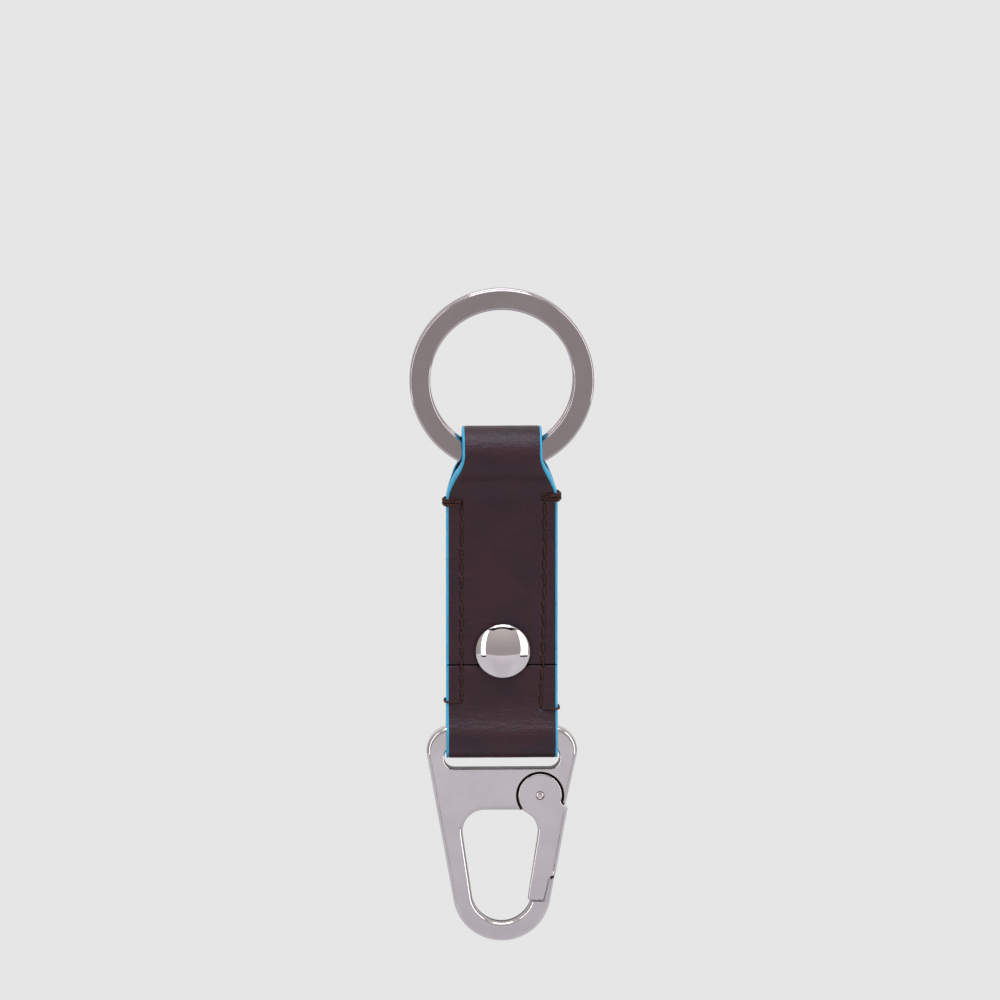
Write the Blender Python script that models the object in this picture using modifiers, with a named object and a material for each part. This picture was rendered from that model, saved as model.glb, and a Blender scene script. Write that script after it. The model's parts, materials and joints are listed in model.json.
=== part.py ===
"""Leather key fob: a split ring, a folded and sewn leather strap with painted edges, a double-cap
rivet, and a flat snap hook with a sprung gate. Z is up, X is the width and the front faces -Y.
The origin is the top of the ring's inner edge, where a peg or a finger carries the fob."""

import math

import bmesh
import bpy

MM = 0.001

# Split ring: flat wire, two turns
RING_OUTER_R = 16.0
RING_INNER_R = 12.4
WIRE_THICKNESS = 1.3
WIRE_CORNER_R = 0.42
TURN_GAP = 0.05
RING_END_ANGLE = 282.0
CROSSOVER_ANGLE = 24.0
CROSSOVER_EASE = 2.0
RING_STATIONS = 174
RING_CENTRE_Z = -RING_INNER_R

# Strap: outer leather bonded to a lining, folded over the ring and round the hook's bar
STRAP_HALF_WIDTH = 9.65
NECK_HALF_WIDTH = 6.9
FLARE_TOP_Z = RING_CENTRE_Z - 12.5
FLARE_BOTTOM_Z = RING_CENTRE_Z - 20.9
PLY_THICKNESS = 1.6
LINING_THICKNESS = 0.55
BOND_GAP = 0.03
PLY_HALF_GAP = 0.05
PAINT_THICKNESS = 0.28
PAINT_GAP = 0.02
RING_LOOP_R = 3.45
RING_LOOP_Z = RING_CENTRE_Z - 13.05
RING_LOOP_BEND_R = 6.0
BAR_LOOP_R = 2.3
BAR_Z = RING_CENTRE_Z - 62.3
BAR_LOOP_BEND_R = 4.0
SEAM_Z = RING_CENTRE_Z - 49.7
SEAM_GAP = 0.16

# Sewing
THREAD_R = 0.22
THREAD_CLEARANCE = 0.04
SEAM_TOP_Z = RING_CENTRE_Z - 21.9
SEAM_LEFT_END_Z = RING_CENTRE_Z - 55.6
SEAM_RIGHT_END_Z = RING_CENTRE_Z - 56.5
SEAM_LEFT_X = -7.0
SEAM_RIGHT_X = 7.2
WRAP_THICKNESS = 0.45
WRAP_START_X = 7.0
WRAP_CORNER_R = 0.4
# Name, side, distance below the ring's centre, and height of each band of thread
EDGE_WRAPS = (
    ("upper_left", -1, 21.2, 1.3),
    ("upper_right", 1, 20.4, 1.3),
    ("lower_left", -1, 56.2, 0.5),
    ("lower_right", 1, 57.2, 0.5),
)

# Double-cap rivet
RIVET_X = 0.15
RIVET_Z = RING_CENTRE_Z - 47.4
CAP_R = 4.7
CAP_WALL = 0.4
CAP_RIM = 0.35
CAP_GAP = 0.05
FRONT_DOME = 1.9
BACK_DOME = 1.3
POST_R = 1.0
POST_PAST_LEATHER = 0.5
RIVET_DISC_R = CAP_R - 1.1
RIVET_DISC_THICKNESS = 0.28
SOCKET_TUBE_R = 1.5
SOCKET_BORE_R = POST_R + 0.12
SOCKET_TUBE_END = -0.6
RIVET_HOLE_R = 1.62

# Snap hook, measured from the middle of its top bar
HOOK_HALF_THICKNESS = 1.6
HOOK_BEVEL = 0.55
BAR_HALF_HEIGHT = 1.75
SHOULDER_X = 8.71
SHOULDER_Z = -2.6
SHOULDER_R = 4.35
HOOK_BOTTOM_Z = -27.5
HOOK_OUTER_R = 8.52
HOOK_INNER_R = 5.2
SLOT_HALF_WIDTH = 10.0
SLOT_BOTTOM_Z = -5.7
SLOT_CORNER_R = 1.8
OPENING_TOP_Z = -13.0
OPENING_CORNER_R = 3.75
OPENING_CORNER_X = -3.05
NOSE_TIP_Z = -24.75
NOSE_MIDDLE_Y = 0.1

# Gate
PIVOT_X = 6.62
PIVOT_Z = -10.38
LUG_R = 4.7
POCKET_R = 4.2
POCKET_FLOOR_Y = 0.15
DISC_R = 3.65
GATE_CORNER_X = 2.46
GATE_LAP_Y = -0.1
GATE_SIDE_ANGLE = -8.7
PIN_R = 0.7
PIN_CLEARANCE = 0.06
SPRING_R = 1.75
SPRING_WIRE_R = 0.17
SPRING_TURNS = 2.0
SPRING_COIL_GAP = 0.04
CHAMBER_CLEARANCE = 0.5
CHAMBER_TOP_Y = -1.15
STEM_OVERLAP = 0.4
STEM_INSET = 0.05
LEDGE_STEP = 0.12
LUG_CLEARANCE = 0.3

# How far cutters reach beyond the part, from front to back
CUTTER_REACH = 4.0
TRIM_REACH = 9.0
TRIM_WIDTH = 6.0


def clear_scene():
    for old in list(bpy.data.objects):
        bpy.data.objects.remove(old, do_unlink=True)


def new_collection(name):
    collection = bpy.data.collections.new(name)
    bpy.context.scene.collection.children.link(collection)
    return collection


def finish(name, colour, roughness, metallic):
    material = bpy.data.materials.new(name)
    material.use_nodes = True
    shader = material.node_tree.nodes["Principled BSDF"]
    shader.inputs["Base Color"].default_value = (*colour, 1.0)
    shader.inputs["Roughness"].default_value = roughness
    shader.inputs["Metallic"].default_value = metallic
    return material


def add_part(name, mesh, material):
    part = bpy.data.objects.new(name, mesh)
    part.data.materials.clear()
    part.data.materials.append(material)
    PARTS.objects.link(part)
    return part


def add_cutter(name, mesh):
    cutter = bpy.data.objects.new(name, mesh)
    cutter.hide_render = True
    cutter.display_type = "WIRE"
    CUTTERS.objects.link(cutter)
    return cutter


def boolean(part, other, operation):
    modifier = part.modifiers.new(operation.lower() + "_" + other.name, "BOOLEAN")
    modifier.operation = operation
    modifier.solver = "EXACT"
    modifier.object = other


def arc(x, z, radius, start, end, steps):
    """Points from one angle to the other, in degrees from +X towards +Z."""
    angles = [math.radians(start + (end - start) * i / steps) for i in range(steps + 1)]
    return [(x + radius * math.cos(a), z + radius * math.sin(a)) for a in angles]


def tangent_normal(x1, z1, r1, x2, z2, r2):
    """Angle of the outward normal where a line touches two circles on its left."""
    distance = math.hypot(x2 - x1, z2 - z1)
    heading = math.atan2(z2 - z1, x2 - x1)
    return math.degrees(heading - math.acos((r1 - r2) / distance))


def curve_mesh(name, splines, extrude, bevel=0.0):
    """A flat outline, filled and thickened, as a welded mesh in its own XY plane."""
    curve = bpy.data.curves.new(name, "CURVE")
    curve.dimensions = "2D"
    curve.fill_mode = "BOTH"
    curve.extrude = extrude * MM
    curve.bevel_depth = bevel * MM
    curve.bevel_resolution = 1
    for points in splines:
        spline = curve.splines.new("POLY")
        spline.points.add(len(points) - 1)
        for point, (u, v) in zip(spline.points, points):
            point.co = (u * MM, v * MM, 0.0, 1.0)
        spline.use_cyclic_u = True
    return welded_mesh(name, curve)


def welded_mesh(name, curve):
    holder = bpy.data.objects.new(name, curve)
    bpy.context.scene.collection.objects.link(holder)
    evaluated = holder.evaluated_get(bpy.context.evaluated_depsgraph_get())
    mesh = bpy.data.meshes.new_from_object(evaluated)
    bpy.data.objects.remove(holder, do_unlink=True)
    edit = bmesh.new()
    edit.from_mesh(mesh)
    bmesh.ops.remove_doubles(edit, verts=edit.verts, dist=0.000002)
    bmesh.ops.recalc_face_normals(edit, faces=edit.faces)
    edit.to_mesh(mesh)
    edit.free()
    mesh.materials.clear()
    return mesh


def plate(name, splines, front_y, back_y, bevel=0.0):
    """An outline in X and Z, between two depths."""
    mesh = curve_mesh(name, splines, (back_y - front_y) / 2.0 - bevel, bevel)
    middle = (front_y + back_y) / 2.0 * MM
    for vertex in mesh.vertices:
        x, z, depth = vertex.co
        vertex.co = (x, middle - depth, z)
    return mesh


def cylinder_mesh(name, radius, x, z, front_y, back_y, segments=48):
    outline = arc(x, z, radius, 0.0, 360.0 * (segments - 1) / segments, segments - 1)
    return plate(name, [outline], front_y, back_y)


def turned(name, profile, material, x, z, front, steps=40):
    """A profile of radius and height, spun about the Y axis; its top faces the front or the back."""
    mesh = bpy.data.meshes.new(name)
    points = [(radius * MM, 0.0, height * MM) for radius, height in profile]
    closed = profile[0][0] > 0.0
    edges = [(i, i + 1) for i in range(len(points) - 1)]
    if closed:
        edges.append((len(points) - 1, 0))
    mesh.from_pydata(points, edges, [])
    part = add_part(name, mesh, material)
    screw = part.modifiers.new("turn", "SCREW")
    screw.steps = steps
    screw.render_steps = steps
    screw.use_merge_vertices = True
    screw.merge_threshold = 0.000002
    part.rotation_euler = (math.radians(90.0 if front else -90.0), 0.0, 0.0)
    part.location = (x * MM, 0.0, z * MM)
    return part


def tube(name, points, radius, material):
    """A round wire or thread along points in X, Y and Z."""
    curve = bpy.data.curves.new(name, "CURVE")
    curve.dimensions = "3D"
    curve.bevel_depth = radius * MM
    curve.bevel_resolution = 2
    curve.use_fill_caps = True
    spline = curve.splines.new("POLY")
    spline.points.add(len(points) - 1)
    for point, (x, y, z) in zip(spline.points, points):
        point.co = (x * MM, y * MM, z * MM, 1.0)
    return add_part(name, welded_mesh(name, curve), material)


# ---------------------------------------------------------------- split ring


def wire_section():
    """Rounded rectangle of the flat wire, as radius and depth from the wire's middle."""
    half_width = (RING_OUTER_R - RING_INNER_R) / 2.0 - WIRE_CORNER_R
    half_depth = WIRE_THICKNESS / 2.0 - WIRE_CORNER_R
    corners = [(1, 1, 0.0), (-1, 1, 90.0), (-1, -1, 180.0), (1, -1, 270.0)]
    points = []
    for side, face, start in corners:
        points += arc(side * half_width, face * half_depth, WIRE_CORNER_R, start, start + 90.0, 2)
    return points


def turn_depth(travel):
    """The wire's depth: front turn, a short crossover, then the back turn."""
    start = 360.0 - CROSSOVER_ANGLE + CROSSOVER_EASE
    share = min(max((travel - start) / (CROSSOVER_ANGLE - 2.0 * CROSSOVER_EASE), 0.0), 1.0)
    blend = share * share * (3.0 - 2.0 * share)
    return (blend - 0.5) * (WIRE_THICKNESS + TURN_GAP)


def make_split_ring(material):
    total = 720.0 - CROSSOVER_ANGLE
    middle_r = (RING_OUTER_R + RING_INNER_R) / 2.0
    section = wire_section()
    edit = bmesh.new()
    rows = []
    for i in range(RING_STATIONS + 1):
        travel = total * i / RING_STATIONS
        angle = math.radians(RING_END_ANGLE + travel)
        depth = turn_depth(travel)
        row = []
        for offset, rise in section:
            radius = (middle_r + offset) * MM
            z = RING_CENTRE_Z * MM + radius * math.sin(angle)
            row.append(edit.verts.new((radius * math.cos(angle), (depth + rise) * MM, z)))
        rows.append(row)
    for near, far in zip(rows, rows[1:]):
        for j in range(len(section)):
            k = (j + 1) % len(section)
            edit.faces.new((near[j], near[k], far[k], far[j]))
    edit.faces.new(rows[0])
    edit.faces.new(rows[-1])
    bmesh.ops.recalc_face_normals(edit, faces=edit.faces)
    mesh = bpy.data.meshes.new("split_ring")
    edit.to_mesh(mesh)
    edit.free()
    return add_part("split_ring", mesh, material)


# ---------------------------------------------------------------- strap


def bend_height(loop_r, bend_r):
    """How far from a loop's centre its two plies come together."""
    return math.sqrt((loop_r + bend_r) ** 2 - (bend_r + PLY_HALF_GAP) ** 2)


def half_loop(loop_r, bend_r, offset, steps):
    """One quarter of a loop: from the closed plies, round the bend, to the loop's far end."""
    rise = bend_height(loop_r, bend_r)
    swing = math.degrees(math.atan2(rise, bend_r + PLY_HALF_GAP))
    bend = arc(-bend_r - PLY_HALF_GAP, 0.0, bend_r - offset, 0.0, swing, steps)
    loop = arc(0.0, rise, loop_r + offset, 180.0 + swing, 90.0, steps + 6)
    return bend + loop[1:]


def strap_path(offset):
    """The strip's side view, as Y and Z, at one distance from its inner face."""
    upper = half_loop(RING_LOOP_R, RING_LOOP_BEND_R, offset, 7)
    lower = half_loop(BAR_LOOP_R, BAR_LOOP_BEND_R, offset, 6)
    upper_z = RING_LOOP_Z - bend_height(RING_LOOP_R, RING_LOOP_BEND_R)
    lower_z = BAR_Z + bend_height(BAR_LOOP_R, BAR_LOOP_BEND_R)
    front_up = [(y, upper_z + z) for y, z in upper]
    back_down = [(-y, z) for y, z in reversed(front_up[:-1])]
    front_low = [(y, lower_z - z) for y, z in lower]
    back_low = [(-y, z) for y, z in front_low[:-1]]
    ends_y = -PLY_HALF_GAP - offset
    first = [(ends_y, SEAM_Z + SEAM_GAP / 2.0)]
    last = [(ends_y, SEAM_Z - SEAM_GAP / 2.0)]
    return first + front_up + back_down + back_low + list(reversed(front_low)) + last


def strip_mesh(name, inner, outer, half_width):
    """The strip between two offsets, as wide as asked, before its sides are cut."""
    outline = strap_path(inner) + list(reversed(strap_path(outer)))
    mesh = curve_mesh(name, [outline], half_width)
    for vertex in mesh.vertices:
        y, z, x = vertex.co
        vertex.co = (x, y, z)
    return mesh


def strap_edge(inset):
    """The right-hand side of the strap's outline, from top to bottom."""
    points = [(NECK_HALF_WIDTH - inset, RING_LOOP_Z + 10.0)]
    for i in range(13):
        share = i / 12.0
        blend = share * share * (3.0 - 2.0 * share)
        half = NECK_HALF_WIDTH + (STRAP_HALF_WIDTH - NECK_HALF_WIDTH) * blend
        points.append((half - inset, FLARE_TOP_Z + (FLARE_BOTTOM_Z - FLARE_TOP_Z) * share))
    points.append((STRAP_HALF_WIDTH - inset, BAR_Z - 8.0))
    return points


def side_band(name, near, far, side):
    """A cutter or blank between two insets from the strap's edge, on one side."""
    outline = strap_edge(near) + list(reversed(strap_edge(far)))
    outline = [(side * x, z) for x, z in outline]
    return plate(name, [outline], -TRIM_REACH, TRIM_REACH)


def make_leather(name, inner, outer, material, trims):
    part = add_part(name, strip_mesh(name, inner, outer, STRAP_HALF_WIDTH + 1.0), material)
    for trim in trims:
        boolean(part, trim, "DIFFERENCE")
    return part


def make_strap(leather, lining, paint):
    leather_inset = PAINT_THICKNESS + PAINT_GAP
    trims = [
        add_cutter(f"trim_{word}", side_band(f"trim_{word}", leather_inset, -TRIM_WIDTH, side))
        for word, side in (("left", -1), ("right", 1))
    ]
    reach = CUTTER_REACH
    hole = cylinder_mesh("rivet_hole", RIVET_HOLE_R, RIVET_X, RIVET_Z, -reach, reach, 32)
    trims.append(add_cutter("rivet_hole", hole))
    make_leather("strap_outer", LINING_THICKNESS + BOND_GAP, PLY_THICKNESS, leather, trims)
    make_leather("strap_lining", 0.0, LINING_THICKNESS, lining, trims)
    for word, side in (("left", -1), ("right", 1)):
        mesh = strip_mesh("edge_paint_" + word, 0.0, PLY_THICKNESS, STRAP_HALF_WIDTH + 1.0)
        bead = add_part("edge_paint_" + word, mesh, paint)
        band = side_band("bead_" + word, 0.0, PAINT_THICKNESS, side)
        boolean(bead, add_cutter("bead_" + word, band), "INTERSECT")


# ---------------------------------------------------------------- sewing


def make_threads(material):
    depth = PLY_HALF_GAP + PLY_THICKNESS + THREAD_CLEARANCE + THREAD_R
    seams = (("left", SEAM_LEFT_X, SEAM_LEFT_END_Z), ("right", SEAM_RIGHT_X, SEAM_RIGHT_END_Z))
    for face, y in (("front", -depth), ("back", depth)):
        for side, x, end_z in seams:
            points = [(x, y, SEAM_TOP_Z), (x, y, end_z)]
            tube(f"thread_{face}_{side}", points, THREAD_R, material)


def make_edge_wrap(name, side, z, height, material):
    """Thread wrapped over the strap's edge, as one band from the front hole to the back hole."""
    inner_y = PLY_HALF_GAP + PLY_THICKNESS + THREAD_CLEARANCE
    outer_y = inner_y + WRAP_THICKNESS
    inner_x = STRAP_HALF_WIDTH + THREAD_CLEARANCE
    outer_x = inner_x + WRAP_THICKNESS
    corner = WRAP_CORNER_R
    outline = [(WRAP_START_X, -outer_y)]
    outline += arc(outer_x - corner, -outer_y + corner, corner, -90.0, 0.0, 3)
    outline += arc(outer_x - corner, outer_y - corner, corner, 0.0, 90.0, 3)
    outline += [(WRAP_START_X, outer_y), (WRAP_START_X, inner_y), (inner_x, inner_y)]
    outline += [(inner_x, -inner_y), (WRAP_START_X, -inner_y)]
    mesh = curve_mesh(name, [[(side * x, y) for x, y in outline]], height / 2.0)
    for vertex in mesh.vertices:
        vertex.co.z += z * MM
    add_part(name, mesh, material)


def make_edge_wraps(material):
    for name, side, drop, height in EDGE_WRAPS:
        make_edge_wrap("edge_wrap_" + name, side, RING_CENTRE_Z - drop, height, material)


# ---------------------------------------------------------------- rivet


def dome_profile(height, base):
    """A pressed cap: domed outside, hollow inside, open towards the leather."""
    sphere = (CAP_R ** 2 + (height - CAP_RIM) ** 2) / (2.0 * (height - CAP_RIM))
    spread = math.degrees(math.asin(CAP_R / sphere))
    outer = arc(0.0, base + height - sphere, sphere, 90.0, 90.0 - spread, 8)
    outer[0] = (0.0, base + height)
    inner_spread = math.degrees(math.asin((CAP_R - CAP_WALL) / (sphere - CAP_WALL)))
    inner = arc(0.0, base + height - sphere, sphere - CAP_WALL, 90.0 - inner_spread, 90.0, 6)
    inner[-1] = (0.0, base + height - CAP_WALL)
    return outer + [(CAP_R, base), (CAP_R - CAP_WALL, base)] + inner


def make_rivet(material):
    base = PLY_HALF_GAP + PLY_THICKNESS + CAP_GAP
    turned("rivet_front_cap", dome_profile(FRONT_DOME, base), material, RIVET_X, RIVET_Z, True)
    turned("rivet_back_cap", dome_profile(BACK_DOME, base), material, RIVET_X, RIVET_Z, False)
    disc_top = base + RIVET_DISC_THICKNESS
    disc = [(RIVET_DISC_R, disc_top), (RIVET_DISC_R, base)]
    socket = [(SOCKET_BORE_R, disc_top)] + disc + [(SOCKET_TUBE_R, base)]
    socket += [(SOCKET_TUBE_R, SOCKET_TUBE_END), (SOCKET_BORE_R, SOCKET_TUBE_END)]
    turned("rivet_socket", socket, material, RIVET_X, RIVET_Z, True, 28)
    post_end = -base - POST_PAST_LEATHER
    post = [(0.0, disc_top)] + disc + [(POST_R, base)]
    post += [(POST_R, post_end), (0.0, post_end)]
    turned("rivet_post", post, material, RIVET_X, RIVET_Z, False, 28)


# ---------------------------------------------------------------- snap hook


def frame_outline(inset):
    """The open hook with its nose and the gate's lug, drawn in from its true edge."""
    outer_r = HOOK_OUTER_R - inset
    inner_r = HOOK_INNER_R + inset
    shoulder_r = SHOULDER_R - inset
    corner_r = OPENING_CORNER_R + inset
    lug_r = LUG_R - inset
    corner_z = OPENING_TOP_Z - OPENING_CORNER_R
    side = tangent_normal(0, HOOK_BOTTOM_Z, outer_r, SHOULDER_X, SHOULDER_Z, shoulder_r)
    slope = tangent_normal(0, HOOK_BOTTOM_Z, inner_r, -OPENING_CORNER_X, corner_z, corner_r)
    lug_side = tangent_normal(PIVOT_X, PIVOT_Z, lug_r, SHOULDER_X, SHOULDER_Z, shoulder_r)
    tip = NOSE_TIP_Z - inset
    points = arc(0, HOOK_BOTTOM_Z, outer_r, 180.0 - side, 360.0 + side, 28)
    points += [point_on_tangent(outer_r, side, tip), point_on_tangent(inner_r, slope, tip)]
    points += arc(0, HOOK_BOTTOM_Z, inner_r, 360.0 + slope, 180.0 - slope, 24)
    points += arc(OPENING_CORNER_X, corner_z, corner_r, 180.0 - slope, 90.0, 10)
    web = OPENING_TOP_Z + inset
    join = 180.0 + math.degrees(math.asin((PIVOT_Z - web) / lug_r))
    points += arc(PIVOT_X, PIVOT_Z, lug_r, join, 360.0 + lug_side, 18)
    points += arc(SHOULDER_X, SHOULDER_Z, shoulder_r, lug_side, 90.0, 12)
    points += arc(-SHOULDER_X, SHOULDER_Z, shoulder_r, 90.0, 180.0 - side, 12)
    return points


def point_on_tangent(radius, normal, z):
    """Where the line that touches the hook's round end at that normal passes a height."""
    angle = math.radians(normal)
    return (radius - (z - HOOK_BOTTOM_Z) * math.sin(angle)) / math.cos(angle), z


def slot_outline(inset):
    half = SLOT_HALF_WIDTH + inset
    top = -BAR_HALF_HEIGHT + inset
    bottom = SLOT_BOTTOM_Z - inset
    r = SLOT_CORNER_R
    points = arc(half - r, bottom + r, r, -90.0, 0.0, 5) + arc(half - r, top - r, r, 0.0, 90.0, 5)
    points += arc(r - half, top - r, r, 90.0, 180.0, 5)
    return points + arc(r - half, bottom + r, r, 180.0, 270.0, 5)


def gate_side(z, inset=0.0):
    """The gate's straight left side, below the opening's round corner."""
    angle = math.radians(GATE_SIDE_ANGLE)
    radius = OPENING_CORNER_R + inset
    start_x = GATE_CORNER_X + radius * math.cos(angle)
    start_z = OPENING_TOP_Z - OPENING_CORNER_R + radius * math.sin(angle)
    return start_x + (z - start_z) * math.tan(-angle), z


def ledge_side(z, inset=0.0):
    """The gate's outer side, in line with the hook's own side."""
    normal = tangent_normal(0, HOOK_BOTTOM_Z, HOOK_OUTER_R, SHOULDER_X, SHOULDER_Z, SHOULDER_R)
    return point_on_tangent(HOOK_OUTER_R + LEDGE_STEP - inset, normal, z)


def gate_front_outline():
    corner_z = OPENING_TOP_Z - OPENING_CORNER_R
    points = arc(PIVOT_X, PIVOT_Z, DISC_R, -18.0, 222.0, 36)
    points += arc(GATE_CORNER_X, corner_z, OPENING_CORNER_R, 68.0, GATE_SIDE_ANGLE, 9)
    points += [gate_side(-28.2)] + arc(4.95, -28.4, 0.45, 180.0, 270.0, 3)
    points += arc(7.05, -28.5, 0.35, 270.0, 360.0, 3) + [(8.12, -25.2), (8.4, -24.75)]
    points += [(9.2, -24.45), ledge_side(-23.9), ledge_side(-13.3), (11.45, -12.7)]
    return points + [(11.1, -12.35), (10.55, -12.0)]


def gate_back_outline():
    """The gate's full-depth stem, clear of the lug above it and of the nose below it."""
    corner_z = OPENING_TOP_Z - OPENING_CORNER_R
    inset = STEM_INSET
    clear_r = LUG_R + LUG_CLEARANCE
    points = arc(PIVOT_X, PIVOT_Z, clear_r, 263.0, 332.0, 10) + [(11.3, -12.95)]
    points += [ledge_side(-13.5, inset), ledge_side(-23.6, inset), (9.0, -24.3)]
    points += [gate_side(-24.3, inset)]
    corner_r = OPENING_CORNER_R + inset
    return points + arc(GATE_CORNER_X, corner_z, corner_r, GATE_SIDE_ANGLE, 20.0, 4)


def from_bar(points):
    return [(x, z + BAR_Z) for x, z in points]


def make_hook_frame(material):
    splines = [from_bar(frame_outline(HOOK_BEVEL)), from_bar(slot_outline(HOOK_BEVEL))]
    half = HOOK_HALF_THICKNESS
    frame = add_part("hook_frame", plate("hook_frame", splines, -half, half, HOOK_BEVEL), material)
    x, z = PIVOT_X, BAR_Z + PIVOT_Z
    pocket = arc(PIVOT_X, PIVOT_Z, POCKET_R, -18.0, 218.0, 40) + [(2.9, -13.6), (4.5, -17.0)]
    pocket += arc(PIVOT_X, PIVOT_Z, 7.0, -70.0, -18.0, 4)
    room = plate("gate_pocket", [from_bar(pocket)], -CUTTER_REACH, POCKET_FLOOR_Y)
    boolean(frame, add_cutter("gate_pocket", room), "DIFFERENCE")
    recess = [(3.6, -29.1), (7.45, -29.1), (8.45, -24.9), (8.75, -23.0), (3.6, -23.0)]
    lap = plate("lap_recess", [from_bar(recess)], -CUTTER_REACH, NOSE_MIDDLE_Y)
    boolean(frame, add_cutter("lap_recess", lap), "DIFFERENCE")
    reach = CUTTER_REACH
    hole = cylinder_mesh("pin_hole", PIN_R + PIN_CLEARANCE, x, z, -reach, reach, 28)
    boolean(frame, add_cutter("pin_hole", hole), "DIFFERENCE")


def make_gate(material):
    half = HOOK_HALF_THICKNESS
    front = plate("hook_gate", [from_bar(gate_front_outline())], -half, GATE_LAP_Y)
    gate = add_part("hook_gate", front, material)
    stem_front = GATE_LAP_Y - STEM_OVERLAP
    back = plate("gate_back", [from_bar(gate_back_outline())], stem_front, half)
    boolean(gate, add_cutter("gate_back", back), "UNION")
    x, z = PIVOT_X, BAR_Z + PIVOT_Z
    reach = CUTTER_REACH
    hole = cylinder_mesh("gate_hole", PIN_R + PIN_CLEARANCE, x, z, -reach, reach, 28)
    boolean(gate, add_cutter("gate_hole", hole), "DIFFERENCE")
    chamber_r = SPRING_R + CHAMBER_CLEARANCE
    chamber = cylinder_mesh("spring_chamber", chamber_r, x, z, CHAMBER_TOP_Y, reach, 36)
    boolean(gate, add_cutter("spring_chamber", chamber), "DIFFERENCE")


def make_pin(material):
    half = HOOK_HALF_THICKNESS
    profile = [(0.0, half), (PIN_R * 0.6, half - 0.03), (PIN_R, half - 0.2)]
    profile += [(PIN_R, 0.2 - half), (PIN_R * 0.6, 0.03 - half), (0.0, -half)]
    turned("gate_pivot_pin", profile, material, PIVOT_X, BAR_Z + PIVOT_Z, True, 24)


def make_spring(material):
    """A torsion spring's coil in the hollow under the disc, round the pin."""
    steps = 18
    count = int(SPRING_TURNS * steps)
    start_y = POCKET_FLOOR_Y - SPRING_WIRE_R - 2.0 * SPRING_COIL_GAP
    pitch = 2.0 * SPRING_WIRE_R + SPRING_COIL_GAP
    points = []
    for i in range(count + 1):
        angle = 2.0 * math.pi * i / steps
        x = PIVOT_X + SPRING_R * math.cos(angle)
        z = BAR_Z + PIVOT_Z + SPRING_R * math.sin(angle)
        points.append((x, start_y - pitch * i / steps, z))
    tube("gate_spring", points, SPRING_WIRE_R, material)


def main():
    steel = finish("bright_nickel", (0.60, 0.58, 0.58), 0.18, 1.0)
    cast = finish("plated_zinc", (0.66, 0.64, 0.65), 0.24, 1.0)
    cap = finish("polished_cap", (0.72, 0.70, 0.70), 0.10, 1.0)
    spring = finish("spring_wire", (0.45, 0.45, 0.46), 0.30, 1.0)
    leather = finish("burgundy_leather", (0.045, 0.018, 0.022), 0.42, 0.0)
    lining = finish("lining_leather", (0.060, 0.030, 0.028), 0.60, 0.0)
    paint = finish("blue_edge_paint", (0.030, 0.42, 0.72), 0.35, 0.0)
    thread = finish("brown_thread", (0.060, 0.026, 0.022), 0.65, 0.0)
    make_split_ring(steel)
    make_strap(leather, lining, paint)
    make_threads(thread)
    make_edge_wraps(thread)
    make_rivet(cap)
    make_hook_frame(cast)
    make_gate(cast)
    make_pin(cap)
    make_spring(spring)


clear_scene()
PARTS = new_collection("keychain")
CUTTERS = new_collection("cutters")
main()
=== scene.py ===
# %% [markdown]
# # A leather key fob
# This lesson builds the looks of a key fob: a flat split ring, a folded leather strap with blue
# painted edges, a domed rivet and a flat snap hook. The working model, with its sizes and joints,
# is already packed. We load it as a fixed frame, then dress each part of it with a finer piece.

# %% Load the frame
import json
import math
import random

import bmesh
import bpy
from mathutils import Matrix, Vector, noise


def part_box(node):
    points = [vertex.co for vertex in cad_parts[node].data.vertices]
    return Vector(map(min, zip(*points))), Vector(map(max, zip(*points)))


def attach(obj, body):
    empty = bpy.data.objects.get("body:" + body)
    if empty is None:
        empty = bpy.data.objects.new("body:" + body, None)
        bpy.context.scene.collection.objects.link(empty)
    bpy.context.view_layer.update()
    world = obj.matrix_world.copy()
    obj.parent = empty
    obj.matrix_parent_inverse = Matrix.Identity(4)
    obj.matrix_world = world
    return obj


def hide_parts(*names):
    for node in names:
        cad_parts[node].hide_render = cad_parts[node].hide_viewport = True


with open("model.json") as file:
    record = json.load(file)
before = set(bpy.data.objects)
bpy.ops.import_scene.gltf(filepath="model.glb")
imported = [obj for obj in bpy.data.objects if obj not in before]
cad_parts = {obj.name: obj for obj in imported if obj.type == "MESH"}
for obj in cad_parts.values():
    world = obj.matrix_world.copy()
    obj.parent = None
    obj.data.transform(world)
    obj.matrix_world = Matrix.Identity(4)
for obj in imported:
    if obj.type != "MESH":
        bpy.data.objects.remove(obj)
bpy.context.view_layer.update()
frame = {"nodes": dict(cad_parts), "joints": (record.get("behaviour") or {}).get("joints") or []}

# %% [markdown]
# The joints tell us where things turn: the ring in the upper loop, the hook's bar in the lower
# loop, and the gate on its pin. We read those places from the frame, so nothing is fitted by eye.

# %% Places from the frame
MM = 0.001
JOINT = {joint["name"]: joint for joint in frame["joints"]}


def joint_place(name):
    """A joint's place in millimetres."""
    return [c / MM for c in JOINT[name]["pos_m"]]


def node_box(name):
    """A node's lowest and highest corners in millimetres."""
    return [[c / MM for c in corner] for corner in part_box(name)]


RING_LOOP_Z = joint_place("ring_swing")[2]
BAR_Z = joint_place("hook_swing")[2]
PIVOT_X, _, PIVOT_Z = joint_place("gate_hinge")
RING_LOW, RING_HIGH = node_box("split_ring")
RING_OUTER_R = (RING_HIGH[0] - RING_LOW[0]) / 2.0
RING_Z = RING_HIGH[2] - RING_OUTER_R
print("ring radius", round(RING_OUTER_R, 2), "mm, bar at z", round(BAR_Z, 2), "mm")

# %% [markdown]
# ## Camera
# A very long lens, four metres away, keeps the flat metal parts true to shape. The camera stands a
# little above the fob and looks slightly down, so the lower inside walls of the openings show.

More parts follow.
